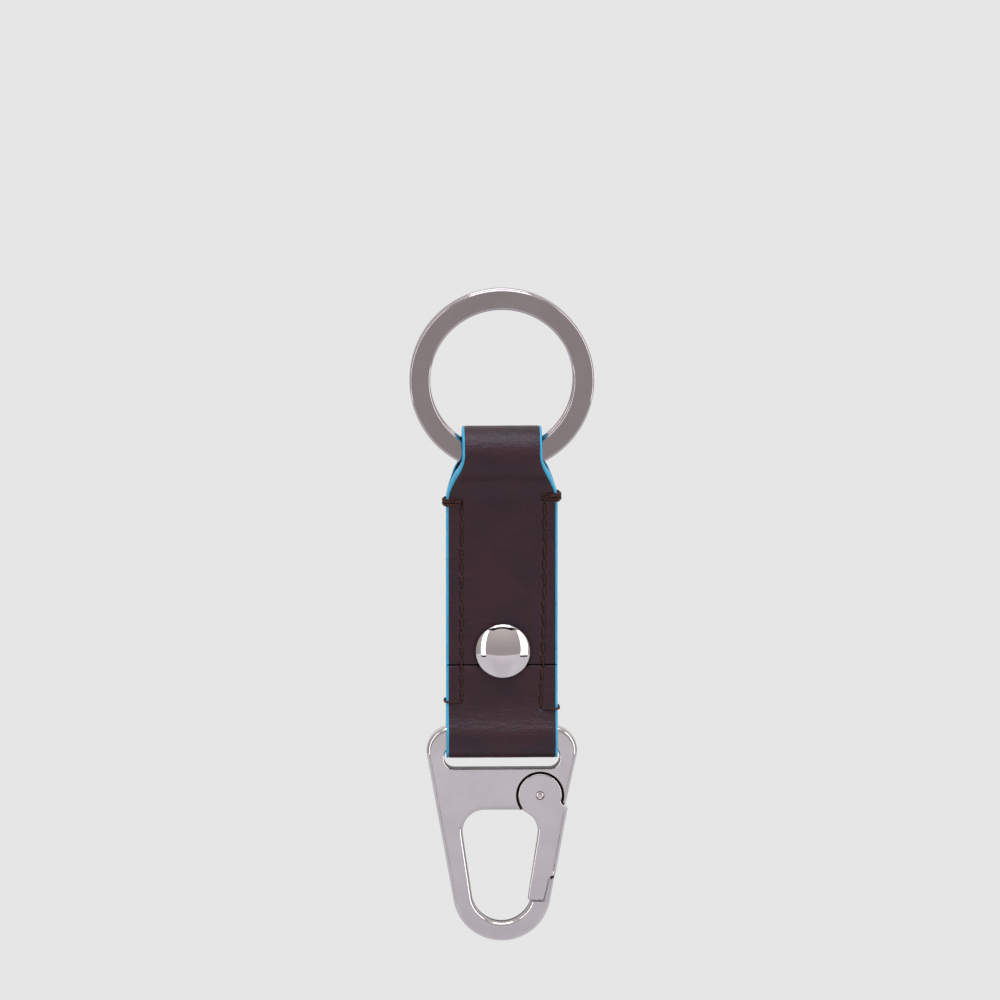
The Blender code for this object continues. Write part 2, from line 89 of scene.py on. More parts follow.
# %% Camera
CAMERA_DISTANCE = 4.0
CAMERA_RAISE = math.radians(9.0)
CAMERA_TURN = math.radians(-1.7)
FIELD_WIDTH = 0.1732
AIM = Vector((-0.0003, 0.0, -0.0334))


def place_camera():
    away = Vector((math.sin(CAMERA_TURN) * math.cos(CAMERA_RAISE),
                   -math.cos(CAMERA_TURN) * math.cos(CAMERA_RAISE),
                   math.sin(CAMERA_RAISE)))
    data = bpy.data.cameras.new("studio_camera")
    data.lens = data.sensor_width * CAMERA_DISTANCE / FIELD_WIDTH
    data.clip_start = 0.01
    camera = bpy.data.objects.new("studio_camera", data)
    bpy.context.scene.collection.objects.link(camera)
    camera.location = AIM + away * CAMERA_DISTANCE
    camera.rotation_mode = "QUATERNION"
    camera.rotation_quaternion = (-away).to_track_quat("-Z", "Y")
    bpy.context.scene.camera = camera
    return camera


camera = place_camera()
bpy.context.scene.view_settings.view_transform = "Standard"
print("lens", round(camera.data.lens, 1), "mm")

# %% [markdown]
# ## A node helper
# Every finish below is a small tree of shader nodes. Writing links by hand gets long, so this
# helper makes one node, sets its inputs and links any input that is given as a socket.

# %% Node helper
def node(tree, kind, **inputs):
    """Adds a node; an input is a value or another node's socket, and _name sets a property."""
    made = tree.nodes.new(kind)
    for name, value in inputs.items():
        if name.startswith("_"):
            setattr(made, name[1:], value)
            continue
        socket = made.inputs[name.replace("_", " ")]
        if isinstance(value, bpy.types.NodeSocket):
            tree.links.new(value, socket)
        else:
            socket.default_value = value
    return made


def new_finish(name):
    """An empty material, its node tree and its output node."""
    material = bpy.data.materials.new(name)
    material.use_nodes = True
    tree = material.node_tree
    tree.nodes.clear()
    return material, tree, tree.nodes.new("ShaderNodeOutputMaterial")


def ramp(tree, factor, *stops):
    """A colour ramp: each stop is a position and a grey level or an RGB colour."""
    made = node(tree, "ShaderNodeValToRGB", Fac=factor)
    while len(made.color_ramp.elements) < len(stops):
        made.color_ramp.elements.new(0.5)
    for element, (position, colour) in zip(made.color_ramp.elements, stops):
        element.position = position
        rgb = colour if isinstance(colour, tuple) else (colour,) * 3
        element.color = (*rgb, 1.0)
    return made.outputs["Color"]


def object_noise(tree, scale, detail=3.0, stretch=(1.0, 1.0, 1.0), roughness=0.5):
    """Noise in the object's own metres; scale is in features per metre."""
    place = tree.nodes.new("ShaderNodeTexCoord").outputs["Object"]
    stretched = node(tree, "ShaderNodeMapping", Vector=place)
    stretched.inputs["Scale"].default_value = stretch
    made = node(tree, "ShaderNodeTexNoise", Vector=stretched.outputs["Vector"], Scale=scale,
                Detail=detail, Roughness=roughness)
    return made.outputs["Fac"]


# %% [markdown]
# ## Studio
# Polished metal shows its surroundings, so the light is built like a product table. A pale paper
# sweep lies below and behind the fob, and glows evenly like a light table. The dim room beyond
# its front edge gives the ring its grey. A small reflector card stands low in front, where only
# the hook and the lower half of the rivet's dome can see it. Two tall soft boxes and one
# overhead give the white streaks.

# %% Paper floor and backdrop
PAPER_LIGHT = 0.791
FLOOR_Z = -0.55
FLOOR_FRONT_Y = -1.6
BACKDROP_Y = 1.5
BACKDROP_TOP = 1.6
SWEEP_R = 0.4


def paper_finish():
    material, tree, output = new_finish("pale_paper")
    fibre = ramp(tree, object_noise(tree, 900.0), (0.0, 0.995), (1.0, 1.0))
    glow = node(tree, "ShaderNodeEmission", Color=fibre, Strength=PAPER_LIGHT)
    tree.links.new(glow.outputs[0], output.inputs["Surface"])
    return material


def make_paper_sweep():
    """Floor, curved corner and backdrop in one sheet of paper."""
    line = [(FLOOR_FRONT_Y, FLOOR_Z)]
    for i in range(13):
        angle = math.radians(-90.0 + 7.5 * i)
        y = BACKDROP_Y - SWEEP_R + SWEEP_R * math.cos(angle)
        z = FLOOR_Z + SWEEP_R + SWEEP_R * math.sin(angle)
        line.append((y, z))
    line.append((BACKDROP_Y, BACKDROP_TOP))
    mesh = bpy.data.meshes.new("paper_sweep")
    verts = [(x, y, z) for y, z in line for x in (-1.8, 1.8)]
    faces = [(2 * i, 2 * i + 1, 2 * i + 3, 2 * i + 2) for i in range(len(line) - 1)]
    mesh.from_pydata(verts, [], faces)
    mesh.materials.append(paper_finish())
    mesh.shade_smooth()
    sheet = bpy.data.objects.new("paper_sweep", mesh)
    bpy.context.scene.collection.objects.link(sheet)


CARD_Y = -0.10
CARD_TOP_Z = -0.0885
CARD_BOTTOM_Z = -0.42
CARD_HALF_WIDTH = 0.072


def make_reflector_card():
    """A glowing card with soft sides that metal can see and the camera can't."""
    material, tree, output = new_finish("reflector_card")
    place = tree.nodes.new("ShaderNodeTexCoord").outputs["Generated"]
    height = node(tree, "ShaderNodeSeparateXYZ", Vector=place).outputs["Z"]
    fade = ramp(tree, height, (0.0, (0.70, 0.69, 0.71)), (0.88, (0.72, 0.71, 0.73)),
                (1.0, (0.86, 0.85, 0.86)))
    glow = node(tree, "ShaderNodeEmission", Color=fade, Strength=1.0)
    across = node(tree, "ShaderNodeSeparateXYZ", Vector=place).outputs["X"]
    solid = ramp(tree, across, (0.0, 0.0), (0.22, 1.0), (0.78, 1.0), (1.0, 0.0))
    feathered = node(tree, "ShaderNodeMixShader", Fac=solid)
    tree.links.new(tree.nodes.new("ShaderNodeBsdfTransparent").outputs[0], feathered.inputs[1])
    tree.links.new(glow.outputs[0], feathered.inputs[2])
    tree.links.new(feathered.outputs[0], output.inputs["Surface"])
    mesh = bpy.data.meshes.new("reflector_card")
    corners = [(-1, CARD_BOTTOM_Z), (1, CARD_BOTTOM_Z), (1, CARD_TOP_Z), (-1, CARD_TOP_Z)]
    mesh.from_pydata([(side * CARD_HALF_WIDTH, CARD_Y, z) for side, z in corners], [],
                     [(0, 1, 2, 3)])
    mesh.materials.append(material)
    card = bpy.data.objects.new("reflector_card", mesh)
    bpy.context.scene.collection.objects.link(card)
    card.visible_camera = False


make_paper_sweep()
make_reflector_card()
print("paper floor at z", FLOOR_Z, "and card top at z", CARD_TOP_Z)

# %% [markdown]
# The room is the world's own colour: a soft, slightly warm gradient from a darker horizon to a
# lighter top, with a white arch overhead that has a dark rim. The arch is the bright line along
# the top of the rivet's dome.
# Area lights stand in for the soft boxes. They light the leather and also show as streaks in
# the dome and along the bevels of the metal. A dark foot stands below each tall one.

# %% Room and soft boxes
ROOM_TINT = (1.0, 0.965, 0.89)
ROOM_LEVELS = ((0.0, 0.455), (0.27, 0.52), (0.52, 0.60), (0.75, 0.70))
ARCH_BRIGHTNESS = 2.2
ARCH_OUTER = 0.35
ARCH_INNER = 0.575
ARCH_RIM = 0.645
ARCH_FOOT = 0.68
ARCH_GAP = 0.77
FOOT_HEIGHT = 0.09


def make_room():
    world = bpy.data.worlds.new("room")
    world.use_nodes = True
    tree = world.node_tree
    tree.nodes.clear()
    place = tree.nodes.new("ShaderNodeTexCoord").outputs["Generated"]
    parts = node(tree, "ShaderNodeSeparateXYZ", Vector=place)
    height = parts.outputs["Z"]
    wall = ramp(tree, height, *[(position, tuple(level * part for part in ROOM_TINT))
                                for position, level in ROOM_LEVELS])
    walls = node(tree, "ShaderNodeBackground", Color=wall, Strength=1.0)
    front = node(tree, "ShaderNodeMath", _operation="MULTIPLY", Value=parts.outputs["Y"])
    front.inputs[1].default_value = -1.0
    front = front.outputs[0]
    band = ramp(tree, front, (ARCH_OUTER, 0.0), (ARCH_OUTER + 0.005, 1.0), (ARCH_RIM, 1.0),
                (ARCH_RIM + 0.006, 0.0))
    inside = node(tree, "ShaderNodeMath", _operation="MULTIPLY", Value=band)
    high = ramp(tree, height, (ARCH_FOOT - 0.01, 0.0), (ARCH_FOOT + 0.01, 1.0))
    tree.links.new(high, inside.inputs[1])
    cloth = ramp(tree, front, (ARCH_INNER, 1.0), (ARCH_INNER + 0.006, 0.03))
    lit = node(tree, "ShaderNodeMath", _operation="MULTIPLY",
               Value=ramp(tree, height, (ARCH_GAP, 0.03), (ARCH_GAP + 0.012, 1.0)))
    lit.inputs[1].default_value = ARCH_BRIGHTNESS
    arch = node(tree, "ShaderNodeBackground", Color=cloth, Strength=lit.outputs[0])
    both = node(tree, "ShaderNodeMixShader", Fac=inside.outputs[0])
    tree.links.new(walls.outputs[0], both.inputs[1])
    tree.links.new(arch.outputs[0], both.inputs[2])
    output = tree.nodes.new("ShaderNodeOutputWorld")
    tree.links.new(both.outputs[0], output.inputs["Surface"])
    bpy.context.scene.world = world


def soft_box(name, place, aim, width, height, brightness):
    """An area light whose face has that brightness, turned towards a point."""
    data = bpy.data.lights.new(name, "AREA")
    data.shape = "RECTANGLE"
    data.size = width
    data.size_y = height
    data.energy = brightness * math.pi * width * height
    lamp = bpy.data.objects.new(name, data)
    bpy.context.scene.collection.objects.link(lamp)
    lamp.location = place
    lamp.rotation_mode = "QUATERNION"
    lamp.rotation_quaternion = (Vector(aim) - Vector(place)).to_track_quat("-Z", "Y")
    lamp.visible_camera = False
    return lamp


def lamp_foot(name, x, y, width, top_z):
    """A short dark cloth panel below a tall soft box."""
    material, tree, output = new_finish(name)
    weave = ramp(tree, object_noise(tree, 1200.0), (0.2, 0.012), (0.8, 0.024))
    cloth = node(tree, "ShaderNodeBsdfDiffuse", Color=weave)
    tree.links.new(cloth.outputs[0], output.inputs["Surface"])
    reach = math.hypot(x, y)
    aside = (-y / reach * width / 2.0, x / reach * width / 2.0)
    low_z = top_z - FOOT_HEIGHT
    corners = [(-1, low_z), (1, low_z), (1, top_z), (-1, top_z)]
    mesh = bpy.data.meshes.new(name)
    mesh.from_pydata([(x + s * aside[0], y + s * aside[1], z) for s, z in corners], [],
                     [(0, 1, 2, 3)])
    mesh.materials.append(material)
    panel = bpy.data.objects.new(name, mesh)
    bpy.context.scene.collection.objects.link(panel)
    panel.visible_camera = False


FOB_MIDDLE = (0.0, 0.0, -0.055)
make_room()
soft_box("left_strip", (-0.81, -0.74, 0.27), (0.0, 0.0, 0.27), 0.21, 1.30, 3.0)
soft_box("right_strip", (0.90, -0.63, 0.27), (0.0, 0.0, 0.27), 0.37, 1.30, 2.6)
soft_box("overhead", (0.0, -0.24, 1.12), FOB_MIDDLE, 0.9, 0.55, 4.6)
lamp_foot("left_foot", -0.81, -0.74, 0.23, -0.37)
lamp_foot("right_foot", 0.90, -0.63, 0.39, -0.37)
print("three soft boxes placed")

# %% [markdown]
# ## Metal finishes
# Nickel plate is nearly a mirror, but never a perfect one. Fine polishing lines, faint smudges
# and tiny pits break up the reflection. All three are drawn with noise at their real size: the
# lines are hundredths of a millimetre apart, and the smudges are a few millimetres across.

# %% Metal finishes
def nickel_finish(name, colour, smooth, rough, lines=0.02):
    """Plated metal: base colour with smudges, roughness between two levels, polishing lines."""
    material, tree, output = new_finish(name)
    smudge = object_noise(tree, 260.0, 4.0)
    darker = tuple(c * 0.93 for c in colour)
    tint = ramp(tree, smudge, (0.35, darker), (0.65, colour))
    gloss = ramp(tree, object_noise(tree, 700.0, 5.0), (0.3, smooth), (0.75, rough))
    scratch = object_noise(tree, 5200.0, 2.0, (1.0, 1.0, 0.06))
    pits = object_noise(tree, 2600.0, 3.0)
    relief = node(tree, "ShaderNodeMath", _operation="MULTIPLY_ADD")
    tree.links.new(scratch, relief.inputs[0])
    relief.inputs[1].default_value = 0.6
    tree.links.new(pits, relief.inputs[2])
    bump = node(tree, "ShaderNodeBump", Strength=lines, Distance=0.0001,
                Height=relief.outputs[0])
    shader = node(tree, "ShaderNodeBsdfPrincipled", Base_Color=tint, Roughness=gloss,
                  Metallic=1.0, Normal=bump.outputs["Normal"])
    tree.links.new(shader.outputs[0], output.inputs["Surface"])
    return material


RING_FINISH = nickel_finish("ring_nickel", (0.52, 0.46, 0.51), 0.06, 0.13)
HOOK_FINISH = nickel_finish("hook_nickel", (0.62, 0.584, 0.615), 0.09, 0.17)
CAP_FINISH = nickel_finish("cap_nickel", (0.71, 0.65, 0.69), 0.03, 0.06, 0.008)
WIRE_FINISH = nickel_finish("spring_steel", (0.45, 0.45, 0.46), 0.20, 0.32)
# The pocket finish is rough, unpolished zinc. Its near-black colour is painted shade for the hook's
# recesses and inside walls.
POCKET_SHADE_FINISH = nickel_finish("pocket_zinc_painted_shade", (0.050, 0.034, 0.027), 0.34, 0.50, 0.3)
print("metal finishes:", RING_FINISH.name, HOOK_FINISH.name, CAP_FINISH.name, WIRE_FINISH.name,
      POCKET_SHADE_FINISH.name)

# %% [markdown]
# ## Leather, paint and thread finishes
# Smooth glazed leather has a very fine grain, finer than a fingerprint, with a few soft creases
# where it bends. Its colour is dark burgundy with brown clouds. The edge paint is a satin
# acrylic, slightly uneven in thickness. The waxed thread is brown with a soft shine.

# %% Leather finish
def leather_finish(name, dark, light, smooth, rough, grain):
    """Leather with clouds of colour, a fine cell grain and soft creases across the strap."""
    material, tree, output = new_finish(name)
    creases = object_noise(tree, 900.0, 4.0, (0.45, 1.0, 2.2), 0.62)
    shade = node(tree, "ShaderNodeMath", _operation="MULTIPLY_ADD", Value=creases)
    shade.inputs[1].default_value = 0.8
    tree.links.new(object_noise(tree, 180.0, 4.0), shade.inputs[2])
    tint = ramp(tree, shade.outputs[0], (0.62, dark), (1.0, light))
    place = tree.nodes.new("ShaderNodeTexCoord").outputs["Object"]
    cells = node(tree, "ShaderNodeTexVoronoi", Vector=place, Scale=2300.0)
    fine = object_noise(tree, 5200.0, 3.0)
    grain_mix = node(tree, "ShaderNodeMath", _operation="MULTIPLY_ADD")
    tree.links.new(cells.outputs["Distance"], grain_mix.inputs[0])
    grain_mix.inputs[1].default_value = 0.5
    tree.links.new(fine, grain_mix.inputs[2])
    grain_bump = node(tree, "ShaderNodeBump", Strength=grain, Distance=0.00011,
                      Height=grain_mix.outputs[0])
    crease_bump = node(tree, "ShaderNodeBump", Strength=0.48, Distance=0.00022,
                       Height=creases, Normal=grain_bump.outputs["Normal"])
    gloss = ramp(tree, object_noise(tree, 1500.0, 4.0), (0.25, smooth), (0.8, rough))
    shader = node(tree, "ShaderNodeBsdfPrincipled", Base_Color=tint, Roughness=gloss,
                  Normal=crease_bump.outputs["Normal"])
    shader.inputs["Specular IOR Level"].default_value = 0.42
    shader.inputs["Specular Tint"].default_value = (0.72, 0.88, 1.0, 1.0)
    tree.links.new(shader.outputs[0], output.inputs["Surface"])
    return material


LEATHER = leather_finish("burgundy_leather", (0.0215, 0.0060, 0.0110), (0.0370, 0.0085, 0.0138),
                         0.34, 0.50, 0.55)
LINING = leather_finish("lining_leather", (0.030, 0.013, 0.012), (0.045, 0.021, 0.019),
                        0.55, 0.72, 0.6)


# %% Paint and thread finishes
def satin_finish(name, dark, light, smooth, rough, scale, relief, shine=0.5):
    """A coated or waxed surface with small changes of colour, gloss and height."""
    material, tree, output = new_finish(name)
    tint = ramp(tree, object_noise(tree, scale, 3.0), (0.3, dark), (0.7, light))
    gloss = ramp(tree, object_noise(tree, scale * 3.0, 2.0), (0.3, smooth), (0.7, rough))
    bump = node(tree, "ShaderNodeBump", Strength=relief, Distance=0.00005,
                Height=object_noise(tree, scale * 2.0, 4.0))
    shader = node(tree, "ShaderNodeBsdfPrincipled", Base_Color=tint, Roughness=gloss,
                  Normal=bump.outputs["Normal"])
    shader.inputs["Specular IOR Level"].default_value = shine
    tree.links.new(shader.outputs[0], output.inputs["Surface"])
    return material


PAINT = satin_finish("blue_edge_paint", (0.012, 0.33, 0.60), (0.02, 0.42, 0.72),
                     0.28, 0.42, 700.0, 0.35)
THREAD = satin_finish("waxed_thread", (0.030, 0.0105, 0.0100), (0.085, 0.034, 0.032),
                      0.46, 0.66, 2400.0, 0.5, 0.22)
print("soft finishes:", LEATHER.name, LINING.name, PAINT.name, THREAD.name)

# %% [markdown]
# ## Mesh helpers
# Many pieces are a cross-section carried along a route, such as the ring's wire, the strap and
# each thread. One helper joins rows of points into a closed skin. A second puts a finished mesh
# in the scene, rides it on its body and hides the working parts that it stands for.

# %% Mesh helpers
def arc(x, z, radius, start, end, steps):
    """Points round a centre, from one angle to the other, in degrees."""
    angles = [math.radians(start + (end - start) * i / steps) for i in range(steps + 1)]
    return [(x + radius * math.cos(a), z + radius * math.sin(a)) for a in angles]


def smooth_step(share):
    share = min(max(share, 0.0), 1.0)
    return share * share * (3.0 - 2.0 * share)


def skin(edit, rows, cap_start=True, cap_end=True):
    """Joins rows of points in millimetres into a tube; each row is a closed loop."""
    made = [[edit.verts.new([c * MM for c in point]) for point in row] for row in rows]
    count = len(made[0])
    for near, far in zip(made, made[1:]):
        for j in range(count):
            k = (j + 1) % count
            edit.faces.new((near[j], near[k], far[k], far[j]))
    if cap_start:
        edit.faces.new(list(reversed(made[0])))
    if cap_end:
        edit.faces.new(made[-1])


def mesh_of(edit, name):
    """Turns a bmesh into a mesh whose faces all point outwards."""
    bmesh.ops.recalc_face_normals(edit, faces=edit.faces)
    mesh = bpy.data.meshes.new(name)
    edit.to_mesh(mesh)
    edit.free()
    return mesh


def turned(name, outline, x, z, steps=48):
    """A solid turned about an axis from front to back; outline holds radius and Y."""
    edit = bmesh.new()
    verts = [edit.verts.new((r * MM, 0.0, y * MM)) for r, y in outline]
    edges = [edit.edges.new(pair) for pair in zip(verts, verts[1:])]
    bmesh.ops.spin(edit, geom=verts + edges, cent=(0, 0, 0), axis=(0, 0, 1),
                   angle=2.0 * math.pi, steps=steps, use_merge=True)
    bmesh.ops.remove_doubles(edit, verts=edit.verts, dist=0.000001)
    for vert in edit.verts:
        across, up, y = vert.co
        vert.co = (x * MM + across, y, z * MM + up)
    return mesh_of(edit, name)


def shade_evenly(mesh, sharp):
    """Sets corner normals so that flat faces look flat and rounded edges blend into them."""
    limit = math.cos(math.radians(sharp))
    around = [[] for _ in mesh.vertices]
    for face in mesh.polygons:
        weight = face.area * (1000.0 if abs(face.normal.y) > 0.9999 else 1.0)
        for index in face.vertices:
            around[index].append((face.normal.copy(), weight))
    normals = []
    for face in mesh.polygons:
        for index in face.vertices:
            total = Vector()
            for normal, weight in around[index]:
                if normal.dot(face.normal) > limit:
                    total += normal * weight
            normals.append(total.normalized() if total.length else face.normal.copy())
    mesh.normals_split_custom_set(normals)


def dress(name, mesh, finish, body, slot, *nodes, sharp=35.0, flat_faces=False):
    """Puts a piece in the scene, on its body, in place of the working nodes."""
    mesh.materials.clear()
    mesh.materials.append(finish)
    mesh.shade_smooth()
    mesh.set_sharp_from_angle(angle=math.radians(sharp))
    if flat_faces:
        shade_evenly(mesh, sharp)
    piece = bpy.data.objects.new(name, mesh)
    bpy.context.scene.collection.objects.link(piece)
    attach(piece, body)
    if nodes:
        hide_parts(*nodes)
    print(f"{name}: {len(mesh.polygons)} faces on {body}")
    return piece


# %% [markdown]
# ## Split ring
# The ring is one length of flat wire wound twice. The front turn steps back to the second turn
# in a short crossover, and both ends are cut square with a small bevel. A torus would lose the
# flat face and the two turns, so the wire's section is carried round by a formula instead. The
# back turn is wound a little tighter and sits a little higher, as real turns never quite line
# up. The ends lie inside the leather loop, where they can't catch.

# %% Split ring
RING_INNER_R = 12.4
WIRE_THICKNESS = 1.3
WIRE_CORNER_R = 0.40
TURN_GAP = 0.05
RING_END_ANGLE = 282.0
CROSSOVER_ANGLE = 24.0
TURN_SHIFT_X = -0.06
TURN_SHIFT_Z = 0.16
TURN_TIGHTER = 0.08


def wire_section(shrink):
    """The flat wire's rounded section, as offsets across and through, drawn in a little."""
    half_width = (RING_OUTER_R - RING_INNER_R) / 2.0 - WIRE_CORNER_R - shrink
    half_depth = WIRE_THICKNESS / 2.0 - WIRE_CORNER_R - shrink
    corners = [(1, 1, 0.0), (-1, 1, 90.0), (-1, -1, 180.0), (1, -1, 270.0)]
    points = []
    for side, face, start in corners:
        points += arc(side * half_width, face * half_depth, WIRE_CORNER_R, start, start + 90.0, 5)
    return points


def back_share(travel):
    """0 on the front turn, 1 on the back turn and between the two in the crossover."""
    start = 360.0 - CROSSOVER_ANGLE + 2.0
    return smooth_step((travel - start) / (CROSSOVER_ANGLE - 4.0))


def make_ring():
    total = 720.0 - CROSSOVER_ANGLE
    middle_r = (RING_OUTER_R + RING_INNER_R) / 2.0
    end_bevel = 0.12
    bevel_angle = math.degrees(end_bevel / middle_r)
    travels = [0.0, bevel_angle] + [2.0 * i for i in range(1, int(total / 2.0))]
    travels += [total - bevel_angle, total]
    rows = []
    for travel in travels:
        shrink = end_bevel if travel in (0.0, total) else 0.0
        angle = math.radians(RING_END_ANGLE + travel)
        back = back_share(travel)
        depth = (back - 0.5) * (WIRE_THICKNESS + TURN_GAP)
        row = []
        for offset, rise in wire_section(shrink):
            radius = middle_r + offset - TURN_TIGHTER * back
            x = radius * math.cos(angle) + TURN_SHIFT_X * back
            z = radius * math.sin(angle) + TURN_SHIFT_Z * back
            row.append((x, depth + rise, RING_Z + z))
        rows.append(row)
    edit = bmesh.new()
    skin(edit, rows)
    dress("flat_wire_ring", mesh_of(edit, "flat_wire_ring"), RING_FINISH, "ring",
          "bright_nickel", "split_ring", sharp=50.0)


make_ring()

# %% [markdown]
# ## The strap's route
# The strap is one strip. It starts at the seam on the front, climbs over the ring, comes down
# the back, turns round the hook's bar and meets its own start again at the seam. Seen from the
# side it is straight runs joined by round arcs, so the route is written as arcs and not drawn
# freehand. Each point also carries the direction that the leather faces there.

# %% Strap route
STRAP_HALF_WIDTH = 9.65
NECK_HALF_WIDTH = 6.9
LEATHER_THICKNESS = 1.6
LINING_THICKNESS = 0.55
PLY_HALF_GAP = 0.05
RING_LOOP_R = 3.45
RING_LOOP_BEND_R = 9.0
BAR_LOOP_R = 2.3
BAR_LOOP_BEND_R = 16.0
SEAM_Z = RING_Z - 49.7
SEAM_GAP = 0.24
ROUTE_STEP = 0.28


def arc_route(y, z, radius, start, end, outward):
    """Points on an arc with the way the leather faces; outward is +1 when it faces away."""
    steps = max(4, int(abs(math.radians(end - start)) * radius / ROUTE_STEP))
    route = []
    for i in range(steps + 1):
        angle = math.radians(start + (end - start) * i / steps)
        facing = (outward * math.cos(angle), outward * math.sin(angle))
        route.append((y + radius * math.cos(angle), z + radius * math.sin(angle), *facing))
    return route


def straight_route(y, start_z, end_z, facing_y):
    steps = max(2, int(abs(end_z - start_z) / ROUTE_STEP))
    return [(y, start_z + (end_z - start_z) * i / steps, facing_y, 0.0) for i in range(steps + 1)]


def bend_height(loop_r, bend_r):
    return math.sqrt((loop_r + bend_r) ** 2 - (bend_r + PLY_HALF_GAP) ** 2)


BEND_TOP_Z = RING_LOOP_Z - bend_height(RING_LOOP_R, RING_LOOP_BEND_R)
BEND_LOW_Z = BAR_Z + bend_height(BAR_LOOP_R, BAR_LOOP_BEND_R)
FACE_Y = PLY_HALF_GAP + LEATHER_THICKNESS


def face_y(z):
    """How far the leather's face stands from the strap's middle at a height."""
    for past, bend_r in ((z - BEND_TOP_Z, RING_LOOP_BEND_R), (BEND_LOW_Z - z, BAR_LOOP_BEND_R)):
        if past > 0.0:
            reach = bend_r - LEATHER_THICKNESS
            return PLY_HALF_GAP + bend_r - math.sqrt(reach ** 2 - past ** 2)
    return FACE_Y


def strap_route():
    """Y, Z and facing along the strip's inner side, from the seam right round to the seam."""
    rise = bend_height(RING_LOOP_R, RING_LOOP_BEND_R)
    swing = math.degrees(math.atan2(rise, RING_LOOP_BEND_R + PLY_HALF_GAP))
    bend_y = RING_LOOP_BEND_R + PLY_HALF_GAP
    top_z = BEND_TOP_Z
    drop = bend_height(BAR_LOOP_R, BAR_LOOP_BEND_R)
    turn = math.degrees(math.atan2(drop, BAR_LOOP_BEND_R + PLY_HALF_GAP))
    low_y = BAR_LOOP_BEND_R + PLY_HALF_GAP
    low_z = BEND_LOW_Z
    parts = [
        straight_route(-PLY_HALF_GAP, SEAM_Z + SEAM_GAP / 2.0, top_z, -1.0),
        arc_route(-bend_y, top_z, RING_LOOP_BEND_R, 0.0, swing, -1.0),
        arc_route(0.0, RING_LOOP_Z, RING_LOOP_R, 180.0 + swing, -swing, 1.0),
        arc_route(bend_y, top_z, RING_LOOP_BEND_R, 180.0 - swing, 180.0, -1.0),
        straight_route(PLY_HALF_GAP, top_z, low_z, 1.0),
        arc_route(low_y, low_z, BAR_LOOP_BEND_R, 180.0, 180.0 + turn, -1.0),
        arc_route(0.0, BAR_Z, BAR_LOOP_R, turn, -180.0 - turn, 1.0),
        arc_route(-low_y, low_z, BAR_LOOP_BEND_R, -turn, 0.0, -1.0),
        straight_route(-PLY_HALF_GAP, low_z, SEAM_Z - SEAM_GAP / 2.0, -1.0),
    ]
    route = parts[0]
    for part in parts[1:]:
        route = route + part[1:]
    return route


ROUTE = strap_route()
ROUTE_LENGTH = sum(math.dist(a[:2], b[:2]) for a, b in zip(ROUTE, ROUTE[1:]))
print("strip length", round(ROUTE_LENGTH, 1), "mm in", len(ROUTE), "stations")

# %% [markdown]
# The strip is narrow where it passes through the ring and flares out to its full width below.
# Its face is not a flat plane either: it rolls off at the edges, sinks along the seams, dips at
# each needle hole and gives way under the rivet's cap. `face_height` adds up all of that.

# %% Strap width and face
FLARE_TOP_Z = RING_Z - 12.5
FLARE_BOTTOM_Z = RING_Z - 20.9
RIVET_X = 0.15
RIVET_Z = RING_Z - 47.25
CAP_R = 4.75
STITCH_PITCH = 2.45
SEAM_TOP_Z = RING_Z - 21.4
SEAM_X = {"left": (-7.0, -7.05), "right": (7.35, 6.65)}
SEAM_END_Z = {"left": RING_Z - 56.0, "right": RING_Z - 57.2}


def half_width(z):
    share = smooth_step((FLARE_TOP_Z - z) / (FLARE_TOP_Z - FLARE_BOTTOM_Z))
    return NECK_HALF_WIDTH + (STRAP_HALF_WIDTH - NECK_HALF_WIDTH) * share


def seam_x(side, z):
    """Where a seam runs at a height: nearly straight, with a little sway of the hand."""
    top, bottom = SEAM_X[side]
    share = (SEAM_TOP_Z - z) / (SEAM_TOP_Z - SEAM_END_Z[side])
    return top + (bottom - top) * share ** 3 + 0.06 * math.sin(z * 0.9 + top)


def needle_holes(side):
    """The holes down one seam, as X and Z."""
    count = round((SEAM_TOP_Z - SEAM_END_Z[side]) / STITCH_PITCH)
    pitch = (SEAM_TOP_Z - SEAM_END_Z[side]) / count
    heights = [SEAM_TOP_Z - pitch * i for i in range(count + 1)]
    return [(seam_x(side, z), z) for z in heights]


UPPER_WRAP_Z = {"left": RING_Z - 21.2, "right": RING_Z - 20.3}
HOLES = needle_holes("left") + needle_holes("right")
HOLES += [(side * 7.0, UPPER_WRAP_Z[name] + step) for name, side in (("left", -1), ("right", 1))
          for step in (-0.5, 0.0, 0.5)]


def face_height(x, y, z, facing_y, half):
    """How far the leather's face stands above or below its nominal thickness."""
    height = -0.10 * math.exp(-(half - abs(x)) / 0.22)
    height += 0.018 * noise.noise(Vector((x * 0.35, z * 0.35, y)))
    if abs(facing_y) < 0.95:
        return height
    for side in SEAM_X:
        if SEAM_END_Z[side] - 0.4 < z < SEAM_TOP_Z + 0.4:
            height -= 0.13 * math.exp(-((x - seam_x(side, z)) / 0.32) ** 2)
    for hole_x, hole_z in HOLES:
        if abs(z - hole_z) < 0.8 and abs(x - hole_x) < 0.8:
            gap = (x - hole_x) ** 2 + (z - hole_z) ** 2
            height -= 0.34 * math.exp(-gap / 0.055) - 0.05 * math.exp(-gap / 0.25)
    rim = math.hypot(x - RIVET_X, z - RIVET_Z) - CAP_R
    return height - 0.13 * math.exp(-(rim / 0.7) ** 2)


print("needle holes:", len(HOLES))

# %% [markdown]
# Now the leather itself. At each station of the route the section is a thin slab: the face with
# many columns of points, so that seams and dents have room, a rounded side, and the underside.
# The lining is a second, thinner slab bonded inside it. Carrying both along one route keeps
# them together round the loops, which two separate bends would not.

# %% Leather strip and lining
PAINT_THICKNESS = 0.28
FACE_COLUMNS = 92
BOND_GAP = 0.03


